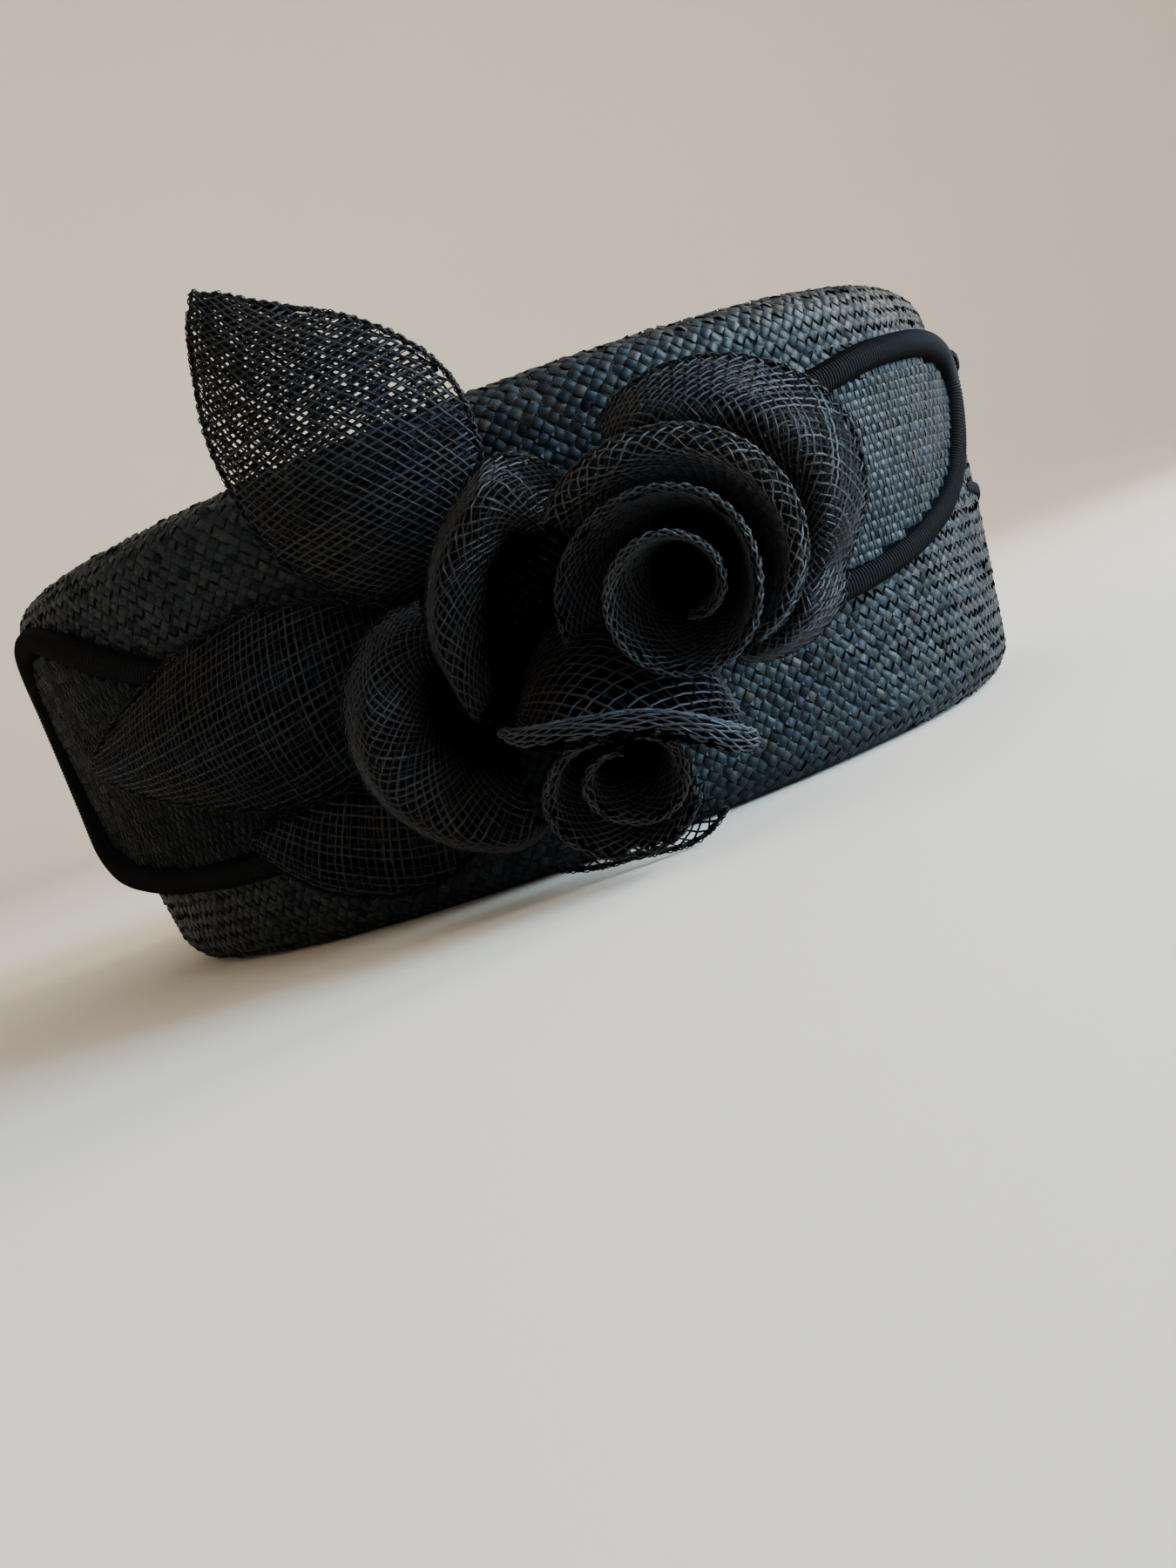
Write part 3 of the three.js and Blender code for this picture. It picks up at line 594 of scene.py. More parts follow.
def weave_straw(
    parts, cloth, pitch, angles, rise, lift, rng, inside=None, tilt=FLOAT_TILT, tones=PLAIN_TONES, drawn=1.0,
    around=MOST_STRANDS,
):
    """Tightly woven flat straw: at each crossing, the strand that lies on top.

    drawn lengthens one family of strands, and around is how many of a family go round a closed cloth.
    """
    i, j, a, b, ways = lattice(cloth, pitch, angles, drawn)
    keep = (a >= 0) & (a < cloth.length - FLOAT_SLACK) & (b >= 0) & (b <= cloth.width)
    if inside is not None:
        keep &= inside(a, b)
    i, j, a, b = (grid[keep] for grid in (i, j, a, b))
    count = len(i)
    first = (i + j) % 2 == 0
    way = np.where(first[:, None], ways[0], ways[1])
    across = np.stack([-way[:, 1], way[:, 0]], -1) * np.where(first, drawn ** -2.0, drawn ** 2.0)[:, None]
    along = np.repeat(FLOAT_ALONG, 2)[None, :] * rng.uniform(*FLOAT_LENGTHS, (count, 1))
    wide = (FLOAT_ACROSS[:, None] * (-1, 1)).reshape(1, -1) * rng.uniform(*FLOAT_WIDTHS, (count, 1))
    place, normal = cloth.at(
        a[:, None] + along * way[:, :1] + wide * across[:, :1],
        b[:, None] + along * way[:, 1:] + wide * across[:, 1:],
    )
    turned = rng.normal(0, tilt * pitch, (2, count, 1))
    high = lift + rise * np.repeat(FLOAT_ARCH, 2)[None, :] + turned[0] * along + turned[1] * wide
    place = place + normal * high[..., None]
    strand = np.where(first, j % around, i % around + around)
    tone = np.random.default_rng(STRAND_SEED).random(2 * around)[strand]
    share, more = np.where(first[:, None], *np.array(tones, float)).T
    tone = FLOAT_TONES[0] * tone + FLOAT_TONES[1] * rng.random(count)
    tone = np.clip(share * tone + more, 0, 1)
    shade = np.repeat(tone, FLOAT_POINTS)
    streak = np.repeat(rng.random((count, 1)) * FLOAT_STREAKS, FLOAT_POINTS, axis=1)
    grain = np.stack([along * pitch, wide * pitch, streak], -1)
    numbers = np.arange(count)[:, None, None] * FLOAT_POINTS
    faces = [(numbers + face).reshape(-1, face.shape[1]) for face in (FLOAT_TOP, FLOAT_UNDER)]
    parts.add(place.reshape(-1, 3), faces, shade, grain.reshape(-1, 3))


def sweep(parts, rings, shade):
    """A closed solid through a row of equal rings of points."""
    count, sides = rings.shape[:2]
    index = np.arange(count * sides).reshape(count, sides)
    ahead = np.roll(index, -1, axis=1)
    walls = np.stack([index[:-1], ahead[:-1], ahead[1:], index[1:]], -1).reshape(-1, 4)
    ends = np.stack([index[0][::-1], index[-1]])
    parts.add(rings.reshape(-1, 3), [walls, ends], shade)


# A rolled hem: radius of its core as a share of the roll, and the core's tone, near black as painted shade
# inside the roll
HEM_CORE = 0.75
HEM_CORE_PAINTED_SHADE = 0.05
HEM_SIDES = 8
HEM_STEP = 1.1
# Its strands: room for one round the roll, fewest, slope, width as a share of the sheet's strands, its least
# and most, how unevenly they are spaced, and their shades
HEM_ROOM = 1.4
HEM_LEAST_STRANDS = 3
HEM_SLOPE = 0.42
HEM_WIDTH = 0.85
HEM_WIDTHS = (0.8, 1.3)
HEM_UNEVEN = 0.2
HEM_SHADES = (0.35, 0.4, 0.25)
# How the roll thins towards its ends: share of its length, and share of its radius
HEM_ENDS = ([0, 0.07, 0.93, 1], [0.45, 1, 1, 0.6])


def add_hem(parts, path, normal, radius, width, depth, rng, painted_light, step, slope=HEM_SLOPE, ends=HEM_ENDS):
    """A rolled edge along a path: a core near black as painted shade, and strands of the cloth that wind
    round it both ways.
    """
    length = run_along(path)
    steps = round(length[-1] / step)
    spread = np.linspace(0, length[-1], steps + 1)
    place = spread_along(spread, length, path)
    up = unit(spread_along(spread, length, normal))
    ahead = unit(np.gradient(place, axis=0))
    side = unit(np.cross(up, ahead))
    up = np.cross(ahead, side)
    thick = radius * np.interp(spread / length[-1], *ends)
    corner = np.linspace(0, 2 * math.pi, HEM_SIDES, endpoint=False)
    spokes = np.cos(corner)[:, None] * side[:, None] + np.sin(corner)[:, None] * up[:, None]
    sweep(parts, place[:, None] + spokes * (thick * HEM_CORE)[:, None, None], HEM_CORE_PAINTED_SHADE * painted_light)
    strands = max(HEM_LEAST_STRANDS, round(2 * math.pi * radius / HEM_ROOM))
    number = np.arange(strands)
    wound = spread * slope / radius
    for way in (-1, 1):
        start = 2 * math.pi * (number + rng.uniform(-HEM_UNEVEN, HEM_UNEVEN, strands)) / strands
        angle = start[None, :] + way * wound[:, None]
        out = np.cos(angle)[..., None] * side[:, None] + np.sin(angle)[..., None] * up[:, None]
        over = way * depth / 2 * np.sign(np.cos(wound * strands))
        lift = np.repeat(over[:, None], strands, axis=1) + rng.normal(0, STRAND_WANDER, angle.shape)
        keep = np.ones(angle.shape, bool)
        widths = width * HEM_WIDTH * rng.uniform(*HEM_WIDTHS, strands)
        shade = painted_light * uneven_shade(rng, HEM_SHADES, angle.shape)
        add_strands(parts, place[:, None] + out * thick[:, None, None], out, keep, lift, widths, depth, shade)


class Value:
    """A value of a material's node tree, which can be used in sums and products."""

    def __init__(self, tree, socket):
        self.tree = tree
        self.socket = socket

    def math(self, operation, left, right):
        node = self.tree.nodes.new("ShaderNodeMath")
        node.operation = operation
        for socket, value in zip(node.inputs, (left, right)):
            feed(self.tree, socket, value)
        return Value(self.tree, node.outputs[0])

    def __add__(self, other):
        return self.math("ADD", self, other)

    def __radd__(self, other):
        return self.math("ADD", other, self)

    def __sub__(self, other):
        return self.math("SUBTRACT", self, other)

    def __rsub__(self, other):
        return self.math("SUBTRACT", other, self)

    def __mul__(self, other):
        return self.math("MULTIPLY", self, other)

    def __rmul__(self, other):
        return self.math("MULTIPLY", other, self)


def feed(tree, socket, value):
    """Links a socket to a value of its tree, or sets it."""
    if isinstance(value, Value):
        tree.links.new(value.socket, socket)
    else:
        socket.default_value = value


# Sockets of a Mix node for colours, whose names are shared with other kinds of values
MIX_FACTOR = 0
MIX_FIRST = 6
MIX_SECOND = 7
MIX_RESULT = 2


class Finish:
    """A material made of nodes."""

    def __init__(self, name):
        self.material = bpy.data.materials.new(name)
        self.material.use_nodes = True
        self.tree = self.material.node_tree
        self.surface = self.tree.nodes["Principled BSDF"]

    def node(self, kind, settings=None, inputs=None, output=0):
        """A new node: its type, its settings, its sockets' values or links, and the output that is used."""
        node = self.tree.nodes.new(kind)
        for name, value in (settings or {}).items():
            setattr(node, name, value)
        for name, value in (inputs or {}).items():
            feed(self.tree, node.inputs[name], value)
        return Value(self.tree, node.outputs[output])

    def attribute(self, name, output):
        return self.node("ShaderNodeAttribute", {"attribute_name": name}, output=output)

    def place(self):
        """Where a point lies in the hat's frame."""
        return self.node("ShaderNodeTexCoord", output="Object")

    def mix(self, factor, first, second):
        """A colour between two colours."""
        ends = {MIX_FACTOR: factor, MIX_FIRST: first, MIX_SECOND: second}
        return self.node("ShaderNodeMix", {"data_type": "RGBA"}, ends, output=MIX_RESULT)

    def noise(self, where, scale, detail=2.0):
        return self.node("ShaderNodeTexNoise", None, {"Vector": where, "Scale": scale, "Detail": detail})

    def stretched(self, where, scale):
        """Coordinates drawn out by a scale for each axis."""
        return self.node("ShaderNodeMapping", None, {"Vector": where, "Scale": scale})

    def spread(self, value, low, high):
        """A value whose range from low to high is drawn out to 0 to 1."""
        ends = {"Value": value, "From Min": low, "From Max": high}
        return self.node("ShaderNodeMapRange", {"clamp": True}, ends)

    def bumped(self, height, strength, distance):
        ends = {"Height": height, "Strength": strength, "Distance": distance}
        return self.node("ShaderNodeBump", None, ends)

    def paint(self, **inputs):
        """Feeds the surface, by the names of its sockets with _ for a blank."""
        for name, value in inputs.items():
            feed(self.tree, self.surface.inputs[name.replace("_", " ")], value)
        return self.material

    def dulled(self, factor, colour):
        """A dull colour where the factor is 0, and the painted surface where it is 1."""
        dull = self.node("ShaderNodeBsdfDiffuse", None, {"Color": opaque(colour)})
        painted = Value(self.tree, self.surface.outputs[0])
        mixed = self.node("ShaderNodeMixShader", None, {0: factor, 1: dull, 2: painted})
        self.tree.links.new(mixed.socket, self.tree.nodes["Material Output"].inputs["Surface"])
        return self.material


def opaque(colour):
    """A colour with full alpha."""
    return (*colour, 1.0)


# Straw: how its fibres and its tints are drawn out over the grain, where a strand's tint turns warm and its
# shade lifts it out of the dull, and the depth of its relief and of the shell's in metres
FIBRES_DRAWN = (0.5, 7.0, 1.0)
TINTS_DRAWN = (0.0, 0.0, 1.7)
WARM_RANGE = (0.52, 0.7)
STRAW_LIFTS = (0.0, 0.4)
STRAW_RELIEF = 0.0005
SHELL_RELIEF = 0.0004


def straw_finish(straw):
    """Glossy flat straw: a tone and a tint for each strand, and fine fibres along it."""
    finish = Finish("woven_straw")
    shade = finish.attribute("shade", "Fac")
    grain = finish.attribute("grain", "Vector")
    fibres = finish.noise(finish.stretched(grain, FIBRES_DRAWN), 1.0, 3.0)
    tint = finish.spread(finish.noise(finish.stretched(grain, TINTS_DRAWN), 1.0, 0.0), *WARM_RANGE)
    light = finish.mix(tint, opaque(straw.light), opaque(straw.warm))
    # The shade attribute carries each float's tone; on the panels it also holds painted light and shade
    colour = finish.mix(shade * 0.7 + fibres * 0.3, opaque(straw.dark), light)
    along, across = (finish.node("ShaderNodeSeparateXYZ", None, {"Vector": grain}, axis) for axis in "XY")
    rounded = fibres * 0.2 - across * across * 0.5 - along * along * 0.1
    finish.paint(
        Base_Color=colour,
        Specular_IOR_Level=0.12,
        Roughness=0.38 + fibres * 0.25,
        Coat_Weight=shade * shade * 0.2,
        Coat_Roughness=0.24,
        Normal=finish.bumped(rounded, 1.0, STRAW_RELIEF),
    )
    return finish.dulled(finish.spread(shade, *STRAW_LIFTS), straw.dark)


def shell_finish(straw):
    """The straw behind the floats and inside the hat: dark, with the weave in low relief."""
    finish = Finish("straw_shell")
    grain = finish.attribute("grain", "Vector")
    weave_relief = finish.node(
        "ShaderNodeTexWave", {"wave_type": "BANDS", "bands_direction": "DIAGONAL"},
        {"Vector": grain, "Scale": 0.9, "Distortion": 0.0},
        output="Fac",
    )
    blotches = finish.noise(grain, 1.2)
    colour = finish.mix(blotches, opaque(straw.hollow), opaque(straw.dark))
    return finish.paint(
        Base_Color=colour,
        Specular_IOR_Level=0.25,
        Roughness=0.62 + blotches * 0.2,
        Normal=finish.bumped(weave_relief, 0.6, SHELL_RELIEF),
    )


# Sinamay: scales of its dry streaks and of its faded patches, where a patch is faded, and where a strand's
# shade lifts it out of the dull black that is painted shade deep in the folds
STREAK_SCALE = 900.0
FADED_SCALE = 40.0
FADED_RANGE = (0.4, 0.6)
SINAMAY_LIFTS = (0.01, 0.15)


def sinamay_finish(sinamay):
    """Stiffened fibre: a tone and dry streaks for each strand, and dull black painted as shade deep in the
    folds.
    """
    finish = Finish("sinamay_strands")
    shade = finish.attribute("shade", "Fac")
    place = finish.place()
    streaks = finish.noise(place, STREAK_SCALE)
    faded = finish.spread(finish.noise(place, FADED_SCALE), *FADED_RANGE)
    light = finish.mix(faded, opaque(sinamay.light), opaque(sinamay.warm))
    colour = finish.mix(shade * (0.7 + streaks * 0.6), opaque(sinamay.dark), light)
    finish.paint(Base_Color=colour, Specular_IOR_Level=0.15, Roughness=0.42 + streaks * 0.25)
    return finish.dulled(finish.spread(shade, *SINAMAY_LIFTS), sinamay.fold_painted_shade)


# Ribbon: scales of its threads and of its patches, and the depth of its threads in metres
THREAD_SCALE = 2200.0
PATCH_SCALE = 60.0
THREAD_RELIEF = 0.00008


def ribbon_finish(ribbon):
    """Matte ribbon: fine threads, and broad patches of tone."""
    finish = Finish("ribbed_ribbon")
    place = finish.place()
    threads = finish.noise(place, THREAD_SCALE)
    patches = finish.noise(place, PATCH_SCALE)
    colour = finish.mix(patches * 0.6 + threads * 0.4, opaque(ribbon.dark), opaque(ribbon.light))
    return finish.paint(
        Base_Color=colour,
        Specular_IOR_Level=0.08,
        Roughness=0.62 + threads * 0.25,
        Normal=finish.bumped(threads, 0.3, THREAD_RELIEF),
    )


def floor_finish(colour):
    """A plain pale sweep."""
    finish = Finish("sweep")
    place = finish.place()
    mottle = finish.noise(place, MOTTLE_SCALE)
    darker = tuple(part * SWEEP_MOTTLE for part in colour)
    mottled = finish.mix(mottle, opaque(colour), opaque(darker))
    return finish.paint(Base_Color=mottled, Roughness=0.85 + mottle * 0.1)


def finish_of(name, make, settings):
    """A material by name, made when it is first asked for."""
    return bpy.data.materials.get(name) or make(settings)


def place_piece(piece, node):
    """The piece stands for a node of the frame and moves with the hat."""
    if node:
        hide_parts(node)
    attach(piece, BODY)


def start_clean():
    """Nothing selected, in object mode."""
    if bpy.context.object and bpy.context.object.mode != "OBJECT":
        bpy.ops.object.mode_set(mode="OBJECT")
    bpy.ops.object.select_all(action="DESELECT")


def length_setting(name, description, default):
    """A length in metres that a user may change."""
    return bpy.props.FloatProperty(
        name=name, description=description, default=default, min=0.00001, precision=5, subtype="DISTANCE",
        unit="LENGTH",
    )


def colour_setting(name, description, default):
    """A colour that a user may change."""
    return bpy.props.FloatVectorProperty(
        name=name, description=description, default=default, min=0.0, max=1.0, size=3, subtype="COLOR",
    )


class StrawSettings(bpy.types.PropertyGroup):
    pitch: length_setting("Pitch", "From one strand of straw to the next", 0.00245)
    rise: length_setting("Rise", "How far a strand arches over the one it crosses", 0.0003)
    dark: colour_setting("Dark", "Darkest strands", (0.0025, 0.0038, 0.005))
    light: colour_setting("Light", "Lightest strands", (0.0142, 0.0222, 0.0305))
    warm: colour_setting("Warm", "Sun-browned strands", (0.034, 0.0335, 0.03))
    hollow: colour_setting("Hollow", "Straw in the gaps and inside", (0.006, 0.008, 0.0105))


class RibbonSettings(bpy.types.PropertyGroup):
    rib: length_setting("Rib", "From one rib of the ribbon to the next", 0.0009)
    depth: length_setting("Depth", "Depth of the grooves between ribs", 0.00026)
    dark: colour_setting("Dark", "Ribbon in the grooves", (0.002, 0.002, 0.0024))
    light: colour_setting("Light", "Ribbon on the ribs", (0.006, 0.006, 0.0075))


class SinamaySettings(bpy.types.PropertyGroup):
    pitch: length_setting("Pitch", "From one strand of sinamay to the next", 0.0021)
    width: length_setting("Width", "Width of a strand", 0.00046)
    depth: length_setting("Depth", "Thickness of a strand", 0.00028)
    # Painted shade: the dull black of strands deep in the folds
    fold_painted_shade: colour_setting("Depths", "Strands deep in the folds", (0.0006, 0.0006, 0.0007))
    dark: colour_setting("Dark", "Darkest strands", (0.002, 0.002, 0.0024))
    light: colour_setting("Light", "Lightest strands", (0.05, 0.062, 0.084))
    warm: colour_setting("Warm", "Dry, faded strands", (0.064, 0.062, 0.066))


class StageSettings(bpy.types.PropertyGroup):
    lens: bpy.props.FloatProperty(
        name="Lens", description="Focal length of the camera", default=40.0, min=1.0, unit="CAMERA",
    )
    floor: colour_setting("Floor", "Colour of the sweep", (0.81, 0.727, 0.63))


class HatSettings(bpy.types.PropertyGroup):
    straw: bpy.props.PointerProperty(type=StrawSettings, name="Straw", description="Crown and panels")
    ribbon: bpy.props.PointerProperty(type=RibbonSettings, name="Ribbon", description="Piping")
    sinamay: bpy.props.PointerProperty(type=SinamaySettings, name="Sinamay", description="Roses and leaves")
    stage: bpy.props.PointerProperty(type=StageSettings, name="Stage", description="Camera and floor")


# Camera of the photograph in the hat's frame, in metres, and the width of its sensor in millimetres
CAMERA_PLACE = Vector((0.1690, -0.4642, 0.0506))
CAMERA_RIGHT = Vector((0.8924, 0.2922, -0.3440))
CAMERA_UP = Vector((0.2968, 0.1944, 0.9350))
CAMERA_NEAR = 0.01
SENSOR_WIDTH = 36.0

# The sweep's rings after its flat middle: radius and height in metres
SWEEP_RADIUS = 1.5
SWEEP_RINGS = [(1.9, 0.03), (2.2, 0.14), (2.45, 0.34), (2.6, 0.62), (2.68, 1.0), (2.7, 3.2)]
SWEEP_SIDES = 96
# The sweep's darker patches: tone as a share of its colour, and scale
SWEEP_MOTTLE = 0.96
MOTTLE_SCALE = 3.0

# Lights: name, place, target, width and height in metres, power in watts, colour
LIGHTS = [
    ("window", (1.10, 0.05, 0.36), (0.06, -0.06, 0.06), 0.6, 0.8, 50.0, (0.53, 0.79, 1.0)),
    ("lamp", (0.95, 0.75, 0.60), (0.08, 0.0, 0.07), 0.4, 0.4, 15.5, (1.0, 0.82, 0.62)),
    ("ceiling", (0.2, 0.2, 2.4), (0.0, 0.0, 0.0), 2.4, 2.4, 22.0, (1.0, 0.93, 0.84)),
    ("backdrop", (-0.5, 1.3, 1.0), (-0.9, 2.6, 0.6), 1.5, 1.0, 6.0, (1.0, 0.96, 0.90)),
]
WORLD_COLOUR = (0.95, 0.93, 0.90)
WORLD_STRENGTH = 0.03


def draw_rings(start, rings):
    """Extrudes the selected edges ring by ring, by the radius and height of each."""
    radius, height = start
    for next_radius, next_height in rings:
        bpy.ops.mesh.extrude_region_move(TRANSFORM_OT_translate={"value": (0, 0, next_height - height)})
        grow = next_radius / radius
        bpy.ops.transform.resize(value=(grow, grow, 1), center_override=(0, 0, next_height))
        radius, height = next_radius, next_height


class HAT_OT_stage(bpy.types.Operator):
    """Adds the camera, the lights and a plain pale sweep"""

    bl_idname = "hat.stage"
    bl_label = "Stage"

    def execute(self, context):
        stage = context.scene.pillbox_hat.stage
        start_clean()
        bpy.ops.object.camera_add()
        camera = context.object
        camera.name = "photo_camera"
        camera.data.lens = stage.lens
        camera.data.sensor_width = SENSOR_WIDTH
        camera.data.clip_start = CAMERA_NEAR
        back = CAMERA_RIGHT.cross(CAMERA_UP)
        turn = Matrix((CAMERA_RIGHT, CAMERA_UP, back)).transposed()
        camera.matrix_world = Matrix.Translation(CAMERA_PLACE) @ turn.normalized().to_4x4()
        context.scene.camera = camera
        self.add_sweep(stage)
        for name, place, target, width, height, power, colour in LIGHTS:
            self.add_light(context, name, Vector(place), Vector(target), (width, height), power, colour)
        self.light_room(context)
        return {"FINISHED"}

    def add_sweep(self, stage):
        """A round floor whose edge rises all the way round."""
        start_clean()
        bpy.ops.mesh.primitive_circle_add(vertices=SWEEP_SIDES, radius=SWEEP_RADIUS, fill_type="NGON")
        sweep_floor = bpy.context.object
        sweep_floor.name = "sweep"
        bpy.ops.object.mode_set(mode="EDIT")
        bpy.ops.mesh.select_all(action="DESELECT")
        bpy.ops.mesh.select_mode(type="EDGE")
        bpy.ops.mesh.select_non_manifold()
        draw_rings((SWEEP_RADIUS, 0.0), SWEEP_RINGS)
        bpy.ops.object.mode_set(mode="OBJECT")
        bpy.ops.object.shade_smooth()
        sweep_floor.data.materials.append(floor_finish(stage.floor))

    def add_light(self, context, name, place, target, size, power, colour):
        """A soft rectangular light that faces a target."""
        start_clean()
        bpy.ops.object.light_add(type="AREA", location=place)
        light = context.object
        light.name = name
        light.rotation_euler = (target - place).to_track_quat("-Z", "Y").to_euler()
        light.data.shape = "RECTANGLE"
        light.data.size, light.data.size_y = size
        light.data.energy = power
        light.data.color = colour
        light.visible_camera = False

    def light_room(self, context):
        """Even light from all round."""
        world = context.scene.world or bpy.data.worlds.new("room")
        context.scene.world = world
        world.use_nodes = True
        background = world.node_tree.nodes["Background"]
        background.inputs["Color"].default_value = opaque(WORLD_COLOUR)
        background.inputs["Strength"].default_value = WORLD_STRENGTH


# The step of the profile that the straw starts from, the grids that its surfaces are followed on, and how far
# it lies off the shell
STRAW_FROM = 4
WALL_GRID = 540
PROFILE_GRID = 140
TOP_GRID = 160
FLOAT_LIFT = 0.05
# How far from the top's corner the straw of the top ends, as a share of the top
TOP_INSET = 0.004
# Angles of the two families of strands to the length of a cloth
BIAS = (45, 135)
STRAIGHT = (90, 0)
# Edges of the shell that turn further than this stay sharp
SHELL_SMOOTH_BELOW = 50


class HAT_OT_crown(bpy.types.Operator):
    """Models the straw crown: a shell, and the woven straw over its wall and top"""

    bl_idname = "hat.crown"
    bl_label = "Crown"

    def execute(self, context):
        straw = context.scene.pillbox_hat.straw
        shell = self.add_shell()
        shell.data.materials.append(finish_of("straw_shell", shell_finish, straw))
        place_piece(shell, "crown")
        for name, make in (("crown_wall_straw", self.wall), ("crown_top_straw", self.top)):
            parts = Parts()
            make(parts, straw)
            piece = parts.build(name, finish_of("woven_straw", straw_finish, straw))
            place_piece(piece, None)
        return {"FINISHED"}

    def add_shell(self):
        """The shell, drawn up ring by ring from the turned-under edge and closed over the top."""
        profile = crown_profile() * MM
        start_clean()
        radius, height = profile[0]
        bpy.ops.mesh.primitive_circle_add(vertices=CROWN_SIDES, radius=radius, location=(0, 0, height))
        shell = bpy.context.object
        shell.name = "crown_shell"
        bpy.ops.object.mode_set(mode="EDIT")
        bpy.ops.mesh.select_all(action="SELECT")
        shoulder = SHOULDER * MM
        draw_rings(profile[0], [*profile[1:], shoulder])
        rise = TOP_MIDDLE * MM - shoulder[1]
        bpy.ops.mesh.extrude_region_move(TRANSFORM_OT_translate={"value": (0, 0, rise)})
        bpy.ops.mesh.merge(type="CENTER")
        bpy.ops.mesh.select_all(action="SELECT")
        bpy.ops.transform.resize(value=(1, CROWN_WIDTH / CROWN_LENGTH, 1), center_override=(0, 0, 0))
        bpy.ops.mesh.normals_make_consistent(inside=False)
        bpy.ops.object.mode_set(mode="OBJECT")
        bpy.ops.object.transform_apply(location=True, rotation=True, scale=True)
        self.press_front(shell.data)
        wall = shell.modifiers.new("wall", "SOLIDIFY")
        wall.thickness = STRAW * MM
        wall.offset = -1.0
        bpy.ops.object.modifier_apply(modifier=wall.name)
        bpy.ops.object.shade_smooth_by_angle(angle=math.radians(SHELL_SMOOTH_BELOW))
        self.mark_grain(shell.data)
        return shell

    def press_front(self, mesh):
        """Lets the wall fall back at the upper front."""
        for vertex in mesh.vertices:
            x, y, z = np.array(vertex.co) / MM
            y *= CROWN_LENGTH / CROWN_WIDTH
            turn = math.degrees(math.atan2(x, -y))
            vertex.co = crown_points(np.array(turn), np.array(math.hypot(x, y)), np.array(z)) * MM

    def mark_grain(self, mesh):
        """Where each point lies round the wall and up it, for the weave."""
        count = len(mesh.vertices)
        place = np.empty(count * 3, np.float32)
        mesh.vertices.foreach_get("co", place)
        place = place.reshape(-1, 3) / MM
        turn = np.arctan2(place[:, 0], -place[:, 1])
        grain = np.stack([turn * HALF_WIDTH, place[:, 2], np.hypot(place[:, 0], place[:, 1])], -1)
        layer = mesh.attributes.new("grain", "FLOAT_VECTOR", "POINT")
        layer.data.foreach_set("vector", grain.astype(np.float32).ravel())

    def wall(self, parts, straw):
        """Straw on the bias round the wall, over the rim and the top's corner."""
        profile = crown_profile()
        run = run_along(profile)
        spread = np.linspace(run[STRAW_FROM], run[-1], PROFILE_GRID)
        radius = np.interp(spread, run, profile[:, 0])
        height = np.interp(spread, run, profile[:, 1])
        turn = np.linspace(-180, 180, WALL_GRID + 1)
        points = crown_points(turn[:, None] + np.zeros(PROFILE_GRID), radius[None], height[None])
        cloth = Cloth(points, closed=True)
        across = 2 * math.cos(math.radians(BIAS[0]))
        around = round(cloth.length / (straw.pitch / MM * across))
        pitch = cloth.length / (around * across)
        rng = np.random.default_rng(WALL_SEED)
        weave_straw(parts, cloth, pitch, BIAS, straw.rise / MM, FLOAT_LIFT, rng, around=around)

    def top(self, parts, straw):
        """Straw across the flat top."""
        edge_radius, edge_height = crown_profile()[-1]
        x = np.linspace(-HALF_LENGTH, HALF_LENGTH, TOP_GRID)[:, None]
        y = np.linspace(-HALF_WIDTH, HALF_WIDTH, TOP_GRID)[None, :]
        share = np.hypot(x / HALF_LENGTH, y / HALF_WIDTH)
        turn = np.degrees(np.arctan2(x / HALF_LENGTH, -y / HALF_WIDTH))
        edge = edge_radius / HALF_LENGTH
        heights = [TOP_MIDDLE, SHOULDER[1], edge_height, edge_height]
        height = np.interp(share, [0, TOP_SHOULDER, edge, 1], heights)
        cloth = Cloth(crown_points(turn, share * HALF_LENGTH, height))

        def inside(a, b):
            across = np.interp(a, cloth.a, np.linspace(-1, 1, TOP_GRID))
            up = np.interp(b, cloth.b, np.linspace(-1, 1, TOP_GRID))
            return np.hypot(across, up) < edge - TOP_INSET

        rng = np.random.default_rng(TOP_SEED)
        weave_straw(parts, cloth, straw.pitch / MM, BIAS, straw.rise / MM, FLOAT_LIFT, rng, inside)


# The grid that a panel is followed on, along and up, and the rows that its outline is looked up in
PANEL_GRID = (120, 40)
PANEL_TABLE = 400
# Its weave: pitch as a share of the crown's, how unevenly floats lie, and how far those up it are drawn out
PANEL_PITCH = 0.68
PANEL_TILT = 0.07
PANEL_DRAWN = 1.25
# Tones of the strands that run up a panel, and of the ones across it: painted light and shade, lighter on the
# front panel's upright strands as painted highlight and darker all over the back panel as painted shade
PANEL_PAINTED_TONES = {"panel_front": ((0.6, 0.4), (0.5, 0.05)), "panel_back": ((0.25, 0.1), (0.2, 0.04))}
# How far the weave runs on under the ribbon, up and down and at the ends in degrees
PANEL_RUN_ON = 0.8
PANEL_RUN_ON_TURN = 0.6
# A panel's edge is turned in under the ribbon: how far past its outline, and how far towards the wall
PANEL_TURN_IN = 3.0
PANEL_TURN_DOWN = 2.2
# Lift of a panel as a share of its table's, and the least that leaves room for the straw
PANEL_SINK = 0.6
PANEL_LEAST_LIFT = STRAW / 2 + SEAM_GAP
# How far its backing and its floats lie in from its outer face
PANEL_BACKING_IN = 0.35
PANEL_FLOATS_IN = 0.1


